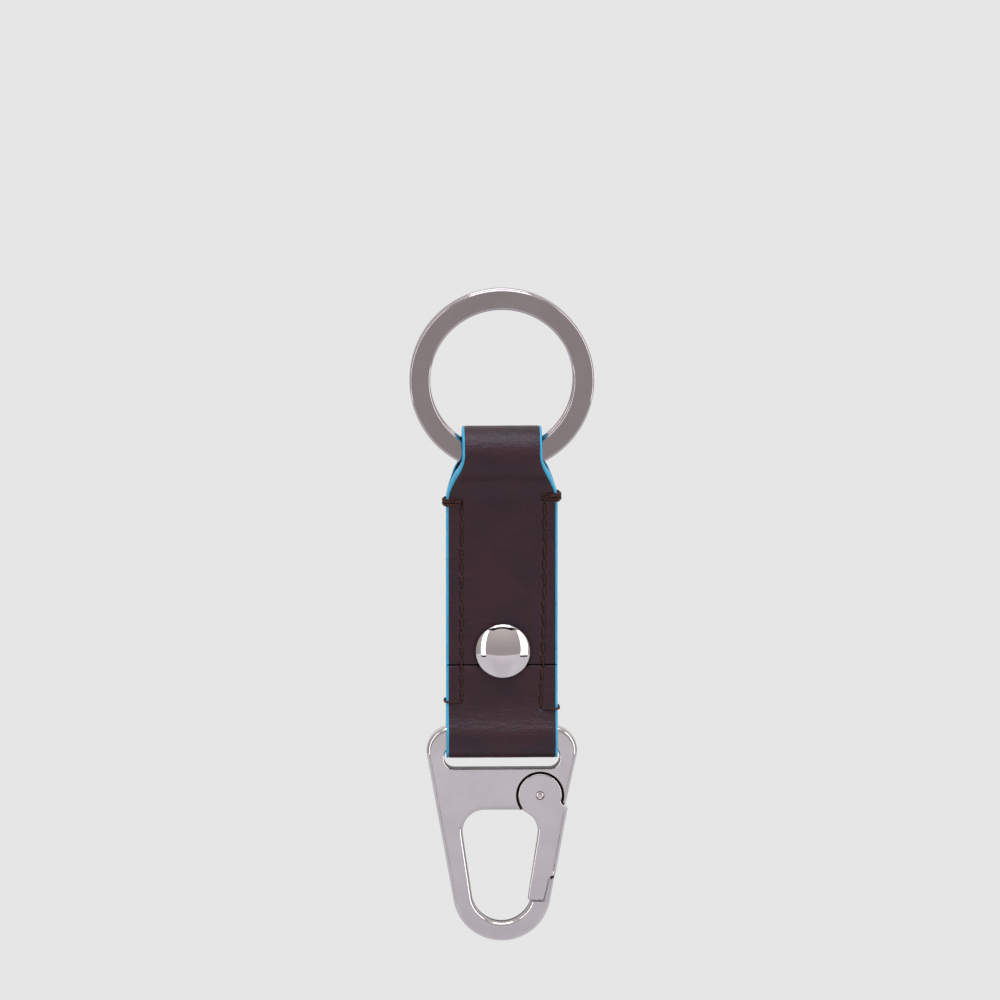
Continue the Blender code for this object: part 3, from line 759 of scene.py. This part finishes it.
def slab_row(station, inner, outer, share_from_end, shaped):
    """One closed row of the strip's section, in millimetres."""
    y, z, facing_y, facing_z = station
    outer_z = z + outer * facing_z
    half = half_width(outer_z) - PAINT_THICKNESS - 0.02
    lip = 0.22 * math.exp(-share_from_end / 0.26)
    row = []
    for i in range(FACE_COLUMNS + 1):
        x = half * (2.0 * i / FACE_COLUMNS - 1.0)
        depth = outer - lip
        if shaped:
            depth += face_height(x, y, outer_z, facing_y, half)
        row.append((x, y + depth * facing_y, z + depth * facing_z))
    for i in range(9):
        x = half * (1.0 - 2.0 * i / 8.0)
        row.append((x, y + inner * facing_y, z + inner * facing_z))
    return row


def make_strip(name, finish, slot, replaced, inner, outer, shaped):
    travelled = 0.0
    rows = []
    for i, station in enumerate(ROUTE):
        if i:
            travelled += math.dist(station[:2], ROUTE[i - 1][:2])
        from_end = min(travelled, ROUTE_LENGTH - travelled)
        rows.append(slab_row(station, inner, outer, from_end, shaped))
    edit = bmesh.new()
    skin(edit, rows)
    dress(name, mesh_of(edit, name), finish, "strap", slot, replaced, sharp=60.0)


make_strip("leather_strip", LEATHER, "burgundy_leather", "strap_outer",
           LINING_THICKNESS + BOND_GAP, LEATHER_THICKNESS, True)
make_strip("lining_strip", LINING, "lining_leather", "strap_lining", 0.0, LINING_THICKNESS, False)

# %% [markdown]
# ## Painted edges
# Edge paint is brushed on in coats. It dries as a rounded bead that bulges past the cut edge and
# laps a little over the face. The bead's half-round section is carried along the strap's edge,
# and its fullness varies slightly, as a hand-painted edge does.

# %% Painted edges
def bead_row(station, side):
    """The bead's closed section at one station."""
    y, z, facing_y, facing_z = station
    edge = half_width(z + LEATHER_THICKNESS * facing_z)
    root = edge - PAINT_THICKNESS - 0.12
    full = 0.30 + 0.025 * noise.noise(Vector((y * 0.6, z * 0.6, side)))
    middle = LEATHER_THICKNESS / 2.0
    section = [(root - 0.02, LEATHER_THICKNESS - 0.12), (root + 0.06, LEATHER_THICKNESS + 0.0)]
    for i in range(1, 10):
        angle = math.radians(90.0 - 18.0 * i)
        reach = root + 0.12 + full * math.cos(angle) ** 0.55
        section.append((reach, middle + (middle + 0.02) * math.sin(angle)))
    section += [(root + 0.06, 0.0), (root - 0.02, 0.12)]
    return [(side * x, y + d * facing_y, z + d * facing_z) for x, d in section]


def make_bead(name, side, replaced):
    edit = bmesh.new()
    skin(edit, [bead_row(station, side) for station in ROUTE])
    dress(name, mesh_of(edit, name), PAINT, "strap", "blue_edge_paint", replaced, sharp=70.0)


make_bead("painted_edge_left", -1, "edge_paint_left")
make_bead("painted_edge_right", 1, "edge_paint_right")

# %% [markdown]
# ## Sewing
# Each stitch is a short length of two-ply waxed thread that comes out of one needle hole, lies
# on the face and goes down the next hole. Two strands wound round each other show the twist that
# a plain tube would hide. The strands are drawn round a centre line by a helper.

# %% Twisted thread helper
STRAND_R = 0.118
PLY_R = 0.105
TWIST_LENGTH = 0.95


def resample(points, step):
    """Points at even distances along a route of straight pieces."""
    route = [Vector(points[0])]
    for start, end in zip(points, points[1:]):
        start, end = Vector(start), Vector(end)
        count = max(1, round((end - start).length / step))
        route += [start.lerp(end, (i + 1) / count) for i in range(count)]
    return route


def twisted_thread(edit, points, start_turn=0.0):
    """Adds two strands wound round a route of points in millimetres."""
    route = resample(points, 0.11)
    for strand in (0.0, math.pi):
        turn = start_turn + strand
        rows = []
        for i, place in enumerate(route):
            ahead = route[min(i + 1, len(route) - 1)] - route[max(i - 1, 0)]
            ahead.normalize()
            aside = ahead.cross(Vector((0.31, 0.17, 0.93)))
            aside.normalize()
            above = ahead.cross(aside)
            middle = place + PLY_R * (aside * math.cos(turn) + above * math.sin(turn))
            ring = [math.radians(60.0 * k) for k in range(6)]
            rows.append([middle + STRAND_R * (aside * math.cos(a) + above * math.sin(a))
                         for a in ring])
            turn += 2.0 * math.pi * 0.11 / TWIST_LENGTH
        skin(edit, rows)


# %% [markdown]
# A seam is one stitch after another between the needle holes. On the front each stitch leans a
# little, because a hand-sewn saddle stitch always does.

# %% Seams
rng = random.Random(7)


def stitch_points(start, end, face):
    """A stitch's centre line: up out of a hole, along the face, down the next hole."""
    lean = (0.09 + rng.uniform(-0.05, 0.05)) * face
    (x0, z0), (x1, z1) = start, end
    line = []
    for share, lift in ((0.03, -0.48), (0.07, -0.18), (0.16, -0.02), (0.32, 0.06), (0.5, 0.09),
                        (0.68, 0.06), (0.84, -0.02), (0.93, -0.18), (0.97, -0.48)):
        x = x0 + (x1 - x0) * share + lean * (1.0 - 2.0 * share)
        z = z0 + (z1 - z0) * share
        line.append((x, face * (face_y(z) + lift), z))
    return line


def make_seam(side, face, replaced):
    edit = bmesh.new()
    holes = needle_holes(side)
    for start, end in zip(holes, holes[1:]):
        twisted_thread(edit, stitch_points(start, end, face), rng.uniform(0.0, 6.0))
    name = replaced.replace("thread", "stitches")
    dress(name, mesh_of(edit, name), THREAD, "strap", "brown_thread", replaced, sharp=80.0)


for face_name, face in (("front", -1), ("back", 1)):
    for side in ("left", "right"):
        make_seam(side, face, f"thread_{face_name}_{side}")

# %% [markdown]
# At both ends of a seam the thread is wrapped over the strap's edge to lock it. The upper wraps
# are several turns piled into a knot, and the lower ones a single turn. Each turn is a hook-shaped
# route from the front hole, over the painted edge, to the back hole.

# %% Edge wraps
def wrap_points(side, hole, edge_z, lift, outwards):
    """One turn over the edge, from the front hole to the back hole."""
    hole_x, hole_z = hole
    edge = side * (STRAP_HALF_WIDTH + outwards)
    level = face_y(hole_z)
    face = level + lift
    corner = side * (STRAP_HALF_WIDTH - 0.25)
    middle_z = (hole_z + edge_z) / 2.0
    front = [(hole_x, -level + 0.5, hole_z), (hole_x + side * 0.1, -level - 0.02, hole_z),
             (hole_x + side * 0.5, -face, hole_z), ((hole_x + corner) / 2.0, -face - 0.03, middle_z),
             (corner, -face, edge_z), (edge - side * 0.12, -face + 0.32, edge_z),
             (edge, -level * 0.4, edge_z)]
    back = [(x, -y, z) for x, y, z in reversed(front)]
    return front + back


def make_wrap(name, side_name, height, turns, spread):
    side = -1 if side_name == "left" else 1
    edit = bmesh.new()
    for turn in range(turns):
        share = 0.0 if turns == 1 else turn / (turns - 1) - 0.5
        hole = (side * (7.0 + 0.5 * rng.random() * (turns > 1)),
                height + share * spread * 0.8 + rng.uniform(-0.1, 0.1) * (turns > 1))
        edge_z = height + share * spread + rng.uniform(-0.06, 0.06)
        lift = 0.16 + (0.26 if turns > 1 and turn % 2 else 0.0)
        twisted_thread(edit, wrap_points(side, hole, edge_z, lift, lift + 0.08), turn * 1.3)
    dress(name.replace("edge_wrap", "edge_knot"), mesh_of(edit, name), THREAD, "strap",
          "brown_thread", name, sharp=80.0)


make_wrap("edge_wrap_upper_left", "left", UPPER_WRAP_Z["left"], 5, 1.1)
make_wrap("edge_wrap_upper_right", "right", UPPER_WRAP_Z["right"], 5, 1.2)
make_wrap("edge_wrap_lower_left", "left", RING_Z - 56.1, 1, 0.0)
make_wrap("edge_wrap_lower_right", "right", RING_Z - 57.3, 1, 0.0)

# %% [markdown]
# ## Rivet
# A double-cap rivet has a thin pressed dome on each side. Each is a turned shape, so its outline
# is drawn once, from the middle of the dome to the rolled rim, and spun round the rivet's axis.

# %% Rivet caps
CAP_WALL = 0.4


def dome_outline(height):
    """The cap from its middle over the dome, round the rolled rim and back up inside."""
    rim = 0.40
    sphere = (CAP_R ** 2 + (height - rim) ** 2) / (2.0 * (height - rim))
    spread = math.degrees(math.asin((CAP_R - 0.22) / sphere))
    outer = arc(0.0, height - sphere, sphere, 90.0, 90.0 - spread, 40)
    outer[0] = (0.0, height)
    roll = arc(CAP_R - 0.26, rim * 0.5 + 0.06, 0.26, 50.0, -90.0, 8)
    inner_spread = math.degrees(math.asin((CAP_R - CAP_WALL) / (sphere - CAP_WALL)))
    inner = arc(0.0, height - sphere, sphere - CAP_WALL, 90.0 - inner_spread, 90.0, 12)
    inner[-1] = (0.0, height - CAP_WALL)
    return outer + roll + [(CAP_R - CAP_WALL, 0.0)] + inner


def make_cap(name, height, face, replaced):
    """A spun dome, its open side against the leather."""
    base = FACE_Y + 0.05
    outline = [(r, face * (h + base)) for r, h in dome_outline(height)]
    dress(name, turned(name, outline, RIVET_X, RIVET_Z, 128), CAP_FINISH, "strap",
          "polished_cap", replaced, sharp=60.0)


make_cap("rivet_dome_front", 1.9, -1, "rivet_front_cap")
make_cap("rivet_dome_back", 1.3, 1, "rivet_back_cap")

# %% [markdown]
# The socket and the post sit inside the caps and the leather. They are already the right shape
# in the working model, so they stay and only take the nickel finish.

# %% Hidden rivet parts
def refinish(name, finish):
    """Gives a working node a better material."""
    mesh = frame["nodes"][name].data
    mesh.materials.clear()
    mesh.materials.append(finish)
    print("refinished", name)


refinish("rivet_socket", CAP_FINISH)
refinish("rivet_post", CAP_FINISH)
refinish("gate_spring", WIRE_FINISH)

# %% [markdown]
# ## Snap hook frame
# The hook is cast zinc: a flat plate with generously rounded edges. Its outline is made of round
# ends and the straight lines that touch them, so a few circles describe it all. A filled curve
# with a bevel gives the plate and its rounding in one go. The gate's pocket, the recess in the
# nose and the pin's hole are then cut out of it.

# %% Hook outline helpers
HOOK_HALF = 1.6
HOOK_BEVEL = 0.80
SLOT_BEVEL = 0.30
BAR_HALF_HEIGHT = 1.75
SHOULDER_X = 8.71
SHOULDER_Z = -2.6
SHOULDER_R = 4.35
HOOK_BOTTOM_Z = -27.5
HOOK_OUTER_R = 8.52
HOOK_INNER_R = 5.2
SLOT_HALF_WIDTH = 10.0
SLOT_BOTTOM_Z = -5.7
SLOT_CORNER_R = 1.8
OPENING_TOP_Z = -13.0
OPENING_CORNER_R = 3.75
OPENING_CORNER_X = -3.05
GATE_CORNER_X = 2.46
NOSE_TIP_Z = -24.75
NOSE_MIDDLE_Y = 0.1
LUG_R = 4.7
POCKET_R = 4.2
POCKET_FLOOR_Y = 0.15
PIVOT_DROP = PIVOT_Z - BAR_Z


def tangent_normal(x1, z1, r1, x2, z2, r2):
    """Angle of the outward normal where a line touches two circles."""
    distance = math.hypot(x2 - x1, z2 - z1)
    heading = math.atan2(z2 - z1, x2 - x1)
    return math.degrees(heading - math.acos((r1 - r2) / distance))


def point_on_tangent(radius, normal, z):
    """Where the line that touches the hook's round end passes a height."""
    angle = math.radians(normal)
    return (radius - (z - HOOK_BOTTOM_Z) * math.sin(angle)) / math.cos(angle), z


def crossing(x1, z1, r1, x2, z2, r2):
    """Where two circles cross on the right, as an angle round each."""
    distance = math.hypot(x2 - x1, z2 - z1)
    heading = math.degrees(math.atan2(z2 - z1, x2 - x1))
    along = (r1 ** 2 - r2 ** 2 + distance ** 2) / (2.0 * distance)
    return (heading - math.degrees(math.acos(along / r1)),
            heading + 180.0 + math.degrees(math.acos((distance - along) / r2)))


def frame_outline(inset):
    """The open hook with its nose and the gate's lug, drawn in from its true edge."""
    outer_r, inner_r = HOOK_OUTER_R - inset, HOOK_INNER_R + inset
    shoulder_r, corner_r = SHOULDER_R - inset, OPENING_CORNER_R + inset
    lug_r = LUG_R - inset
    corner_z = OPENING_TOP_Z - OPENING_CORNER_R
    side = tangent_normal(0, HOOK_BOTTOM_Z, outer_r, SHOULDER_X, SHOULDER_Z, shoulder_r)
    slope = tangent_normal(0, HOOK_BOTTOM_Z, inner_r, -OPENING_CORNER_X, corner_z, corner_r)
    lug_side = tangent_normal(PIVOT_X, PIVOT_DROP, lug_r, SHOULDER_X, SHOULDER_Z, shoulder_r)
    tip = NOSE_TIP_Z - inset
    points = arc(0, HOOK_BOTTOM_Z, outer_r, 180.0 - side, 360.0 + side, 64)
    points += [point_on_tangent(outer_r, side, tip), point_on_tangent(inner_r, slope, tip)]
    points += arc(0, HOOK_BOTTOM_Z, inner_r, 360.0 + slope, 180.0 - slope, 56)
    points += arc(OPENING_CORNER_X, corner_z, corner_r, 180.0 - slope, 90.0, 26)
    turn, join = crossing(GATE_CORNER_X, corner_z, corner_r, PIVOT_X, PIVOT_DROP, lug_r)
    points += arc(GATE_CORNER_X, corner_z, corner_r, 90.0, turn, 18)
    points += arc(PIVOT_X, PIVOT_DROP, lug_r, join, 360.0 + lug_side, 44)[1:]
    points += arc(SHOULDER_X, SHOULDER_Z, shoulder_r, lug_side, 90.0, 30)
    points += arc(-SHOULDER_X, SHOULDER_Z, shoulder_r, 90.0, 180.0 - side, 30)
    return points


def slot_outline(inset):
    half, r = SLOT_HALF_WIDTH + inset, SLOT_CORNER_R + inset
    top, bottom = -BAR_HALF_HEIGHT + inset, SLOT_BOTTOM_Z - inset
    points = arc(half - r, bottom + r, r, -90.0, 0.0, 12)
    points += arc(half - r, top - r, r, 0.0, 90.0, 12)
    points += arc(r - half, top - r, r, 90.0, 180.0, 12)
    return points + arc(r - half, bottom + r, r, 180.0, 270.0, 12)


# %% [markdown]
# `plate` turns outlines into a solid: Blender fills the curve, thickens it and rounds its edges.
# The result is welded, stood up and moved to its depth. Cuts are made with exact Booleans and
# applied at once, then a very small bevel softens the new edges so that they catch the light.

# %% Plate and cutting helpers
def plate(name, outlines, front_y, back_y, bevel=0.0, rounds=4):
    """A solid between two depths, from outlines measured from the middle of the hook's bar."""
    curve = bpy.data.curves.new(name, "CURVE")
    curve.dimensions = "2D"
    curve.fill_mode = "BOTH"
    curve.extrude = ((back_y - front_y) / 2.0 - bevel) * MM
    curve.bevel_depth = bevel * MM
    curve.bevel_resolution = rounds
    for outline in outlines:
        spline = curve.splines.new("POLY")
        spline.points.add(len(outline) - 1)
        for point, (x, z) in zip(spline.points, outline):
            point.co = (x * MM, z * MM, 0.0, 1.0)
        spline.use_cyclic_u = True
    holder = bpy.data.objects.new(name, curve)
    bpy.context.scene.collection.objects.link(holder)
    mesh = bpy.data.meshes.new_from_object(
        holder.evaluated_get(bpy.context.evaluated_depsgraph_get()))
    bpy.data.objects.remove(holder, do_unlink=True)
    edit = bmesh.new()
    edit.from_mesh(mesh)
    bmesh.ops.remove_doubles(edit, verts=edit.verts, dist=0.000001)
    middle = (front_y + back_y) / 2.0 * MM
    for vert in edit.verts:
        x, z, depth = vert.co
        vert.co = (x, middle - depth, z + BAR_Z * MM)
    bpy.data.meshes.remove(mesh)
    return mesh_of(edit, name)


def carve(mesh, steps, soften=0.0):
    """Applies Boolean steps, given as an operation and a mesh, then softens sharp edges."""
    body = bpy.data.objects.new("carving", mesh)
    bpy.context.scene.collection.objects.link(body)
    tools = []
    for operation, other in steps:
        tool = bpy.data.objects.new("tool", other)
        bpy.context.scene.collection.objects.link(tool)
        tools.append(tool)
        cut = body.modifiers.new("cut", "BOOLEAN")
        cut.operation = operation
        cut.solver = "EXACT"
        cut.object = tool
    if soften:
        bevel = body.modifiers.new("soften", "BEVEL")
        bevel.width = soften * MM
        bevel.segments = 2
        bevel.limit_method = "ANGLE"
        bevel.angle_limit = math.radians(40.0)
    result = bpy.data.meshes.new_from_object(
        body.evaluated_get(bpy.context.evaluated_depsgraph_get()))
    for used in [body, *tools]:
        bpy.data.objects.remove(used, do_unlink=True)
    return result


def disc(radius, x, z, front_y, back_y, steps=72):
    """A round cutter or blank."""
    outline = arc(x, z, radius, 0.0, 360.0 * (steps - 1) / steps, steps - 1)
    return plate("disc", [outline], front_y, back_y)


# %% Hook frame
PIN_R = 0.7
PIN_CLEARANCE = 0.06
SINK_R = 1.35
SINK_DEPTH = 0.28


def countersink(face):
    """A cone-shaped cutter for the pin's shallow dish, in the front (-1) or back (+1)."""
    outline = [(0.0, face * (HOOK_HALF + 1.0)), (SINK_R, face * (HOOK_HALF + 1.0)),
               (SINK_R, face * HOOK_HALF), (PIN_R - 0.1, face * (HOOK_HALF - SINK_DEPTH)),
               (0.0, face * (HOOK_HALF - SINK_DEPTH))]
    return turned("countersink", outline, PIVOT_X, PIVOT_Z)


def in_shaded_recess(x, y, z):
    """Whether a place is in the gate's pocket or on an inside wall of an opening, where painted
    shade goes.
    """
    from_pivot = math.hypot(x - PIVOT_X, z - PIVOT_DROP)
    pocket_floor = abs(y - POCKET_FLOOR_Y) < 0.01
    pocket_wall = -1.5 < y < POCKET_FLOOR_Y and abs(from_pivot - POCKET_R) < 0.05
    notch = -1.5 < y < NOSE_MIDDLE_Y + 0.02 and x > 7.0 and -26.2 < z < -22.9
    slot_wall = abs(y) < HOOK_HALF - 0.1 and abs(x) < 10.1 and SLOT_BOTTOM_Z - 0.1 < z < -4.0
    inner_r = math.hypot(x, z - HOOK_BOTTOM_Z)
    low_wall = abs(y) < HOOK_HALF - HOOK_BEVEL + 0.05 and inner_r < HOOK_INNER_R + 0.05
    return pocket_floor or pocket_wall or notch or slot_wall or low_wall


def paint_recess_shade(piece, is_inside):
    """Gives these faces a rough finish whose near-black colour is painted shade for the recesses."""
    piece.data.materials.append(POCKET_SHADE_FINISH)
    for face in piece.data.polygons:
        x, y, z = (c / MM for c in face.center)
        if is_inside(x, y, z - BAR_Z):
            face.material_index = 1


def make_hook_frame():
    blank = plate("hook_plate", [frame_outline(HOOK_BEVEL)], -HOOK_HALF, HOOK_HALF, HOOK_BEVEL, 8)
    around = [(-20.0, -45.0), (20.0, -45.0), (20.0, 10.0), (-20.0, 10.0)]
    slot = plate("slotted", [around, slot_outline(SLOT_BEVEL)], -HOOK_HALF - 0.01,
                 HOOK_HALF + 0.01, SLOT_BEVEL)
    pocket = arc(PIVOT_X, PIVOT_DROP, POCKET_R, -18.0, 218.0, 80) + [(2.9, -13.6), (4.5, -17.0)]
    pocket += arc(PIVOT_X, PIVOT_DROP, 7.0, -70.0, -18.0, 4)
    recess = [(3.6, -29.1), (7.45, -29.1), (8.45, -24.9), (8.75, -23.0), (3.6, -23.0)]
    cuts = [
        ("INTERSECT", slot),
        ("DIFFERENCE", plate("pocket", [pocket], -4.0, POCKET_FLOOR_Y)),
        ("DIFFERENCE", plate("recess", [recess], -4.0, NOSE_MIDDLE_Y)),
        ("DIFFERENCE", disc(PIN_R + PIN_CLEARANCE, PIVOT_X, PIVOT_DROP, -4.0, 4.0, 48)),
        ("DIFFERENCE", countersink(1)),
    ]
    piece = dress("hook_casting", carve(blank, cuts, 0.07), HOOK_FINISH, "hook", "plated_zinc",
                  "hook_frame", sharp=30.0, flat_faces=True)
    # The pocket, the nose recess and the inside walls of the openings get painted shade: a
    # near-black rough finish.
    paint_recess_shade(piece, in_shaded_recess)


make_hook_frame()

# %% [markdown]
# ## Gate
# The gate is a lever. Its round disc sits in the frame's pocket, its stem fills the gap in the
# hook's side, and its thin end laps over the nose. The outer side carries a wide bevel for the
# thumb. It is built from a front plate and a deeper stem joined together, then cut for the pin.

# %% Gate outlines
DISC_R = 3.84
GATE_LAP_Y = -0.1
GATE_SIDE_ANGLE = -8.7


def gate_side(z, inset=0.0):
    """The gate's straight inner side, below the opening's round corner."""
    angle = math.radians(GATE_SIDE_ANGLE)
    radius = OPENING_CORNER_R + inset
    start_x = GATE_CORNER_X + radius * math.cos(angle)
    start_z = OPENING_TOP_Z - OPENING_CORNER_R + radius * math.sin(angle)
    return start_x + (z - start_z) * math.tan(-angle), z


def ledge_side(z, inset=0.0):
    """The gate's outer side, in line with the hook's own side."""
    normal = tangent_normal(0, HOOK_BOTTOM_Z, HOOK_OUTER_R, SHOULDER_X, SHOULDER_Z, SHOULDER_R)
    return point_on_tangent(HOOK_OUTER_R + 0.12 - inset, normal, z)


def gate_front_outline():
    corner_z = OPENING_TOP_Z - OPENING_CORNER_R
    points = arc(PIVOT_X, PIVOT_DROP, DISC_R, -18.0, 222.0, 80)
    points += arc(GATE_CORNER_X, corner_z, OPENING_CORNER_R, 68.0, GATE_SIDE_ANGLE, 24)
    points += [gate_side(-28.2)] + arc(4.95, -28.4, 0.45, 180.0, 270.0, 8)
    points += arc(7.05, -28.5, 0.35, 270.0, 360.0, 8) + [(8.12, -25.2), (8.4, -24.75)]
    points += [(9.2, -24.45), ledge_side(-23.9), ledge_side(-13.3), (11.45, -12.7)]
    return points + [(11.1, -12.35), (10.55, -12.0)]


def gate_back_outline():
    corner_z = OPENING_TOP_Z - OPENING_CORNER_R
    inset = 0.05
    points = arc(PIVOT_X, PIVOT_DROP, LUG_R + 0.3, 263.0, 332.0, 24) + [(11.3, -12.95)]
    points += [ledge_side(-13.5, inset), ledge_side(-23.6, inset), (9.0, -24.3)]
    points += [gate_side(-24.3, inset)]
    corner_r = OPENING_CORNER_R + inset
    return points + arc(GATE_CORNER_X, corner_z, corner_r, GATE_SIDE_ANGLE, 20.0, 10)


# %% Gate
GATE_WIDE_ROUND = 0.95
GATE_SIDE_ROUND = 0.50
GATE_FINE_ROUND = 0.32
ROUND_STEPS = 8


def rim_round(x, z):
    """How much the rim is rounded there: widest on the thumb's side, least round the disc."""
    round_disc = math.hypot(x - PIVOT_X, z - PIVOT_DROP) < DISC_R + 0.1
    near_tip = z < -27.8 or (z < -24.2 and x > 7.0)
    if round_disc or near_tip or (x > 10.0 and z > -12.9):
        return GATE_FINE_ROUND
    return GATE_WIDE_ROUND if x > ledge_side(z)[0] - 0.25 else GATE_SIDE_ROUND


def drawn_in(outline, i, amount):
    """A point of an outline moved inwards, square to the outline there."""
    x, z = outline[i]
    before, after = Vector(outline[i - 1]), Vector(outline[(i + 1) % len(outline)])
    ahead = (Vector((x, z)) - before).normalized() + (after - Vector((x, z))).normalized()
    ahead.normalize()
    return x - ahead.y * amount, z + ahead.x * amount


def rounded_slab(name, outline, plain_y, round_y):
    """A plate with one rim rounded by a quarter circle whose size varies round the outline."""
    turned_area = sum(a[0] * b[1] - b[0] * a[1] for a, b in zip(outline, outline[1:] + outline[:1]))
    if turned_area < 0.0:
        outline = outline[::-1]
    way = 1.0 if plain_y > round_y else -1.0
    rows = [[(x, plain_y, z + BAR_Z) for x, z in outline]]
    for step in range(ROUND_STEPS + 1):
        angle = math.pi / 2.0 * step / ROUND_STEPS
        row = []
        for i, (x, z) in enumerate(outline):
            size = rim_round(x, z)
            x, z = drawn_in(outline, i, size * (1.0 - math.cos(angle)))
            row.append((x, round_y + way * size * (1.0 - math.sin(angle)), z + BAR_Z))
        rows.append(row)
    edit = bmesh.new()
    skin(edit, rows)
    return mesh_of(edit, name)


def on_disc_side(x, y, z):
    """Whether a place is on the disc's side wall, below its rounded rim, where painted shade goes.
    """
    return y > -1.3 and DISC_R - 0.05 < math.hypot(x - PIVOT_X, z - PIVOT_DROP) < DISC_R + 0.05


def make_gate():
    front = rounded_slab("gate_plate", gate_front_outline(), GATE_LAP_Y, -HOOK_HALF)
    back = rounded_slab("gate_stem", gate_back_outline(), GATE_LAP_Y - 0.4, HOOK_HALF)
    cuts = [
        ("UNION", back),
        ("DIFFERENCE", disc(PIN_R + PIN_CLEARANCE, PIVOT_X, PIVOT_DROP, -4.0, 4.0, 48)),
        ("DIFFERENCE", disc(2.25, PIVOT_X, PIVOT_DROP, -1.15, 4.0, 60)),
        ("DIFFERENCE", countersink(-1)),
    ]
    piece = dress("gate_lever", carve(front, cuts, 0.05), HOOK_FINISH, "gate", "plated_zinc",
                  "hook_gate", sharp=30.0, flat_faces=True)
    # The disc's side wall, deep in the pocket's groove, gets the same near-black painted shade.
    paint_recess_shade(piece, on_disc_side)


make_gate()

# %% [markdown]
# ## Pivot pin
# The pin is a rivet: its ends are peened over into small round heads, each in a shallow ring.
# It is a turned shape, like the caps.

# %% Pivot pin
HEAD_RISE = 0.30


def make_pin():
    head = arc(0.0, 0.0, PIN_R, 90.0, 0.0, 10)
    rise = [(r, HOOK_HALF - HEAD_RISE + h / PIN_R * HEAD_RISE) for r, h in head]
    outline = rise + [(r, -y) for r, y in reversed(rise)]
    outline[0] = (0.0, outline[0][1])
    outline[-1] = (0.0, outline[-1][1])
    dress("peened_pin", turned("peened_pin", outline, PIVOT_X, PIVOT_Z), CAP_FINISH, "hook",
          "polished_cap", "gate_pivot_pin", sharp=50.0)


make_pin()
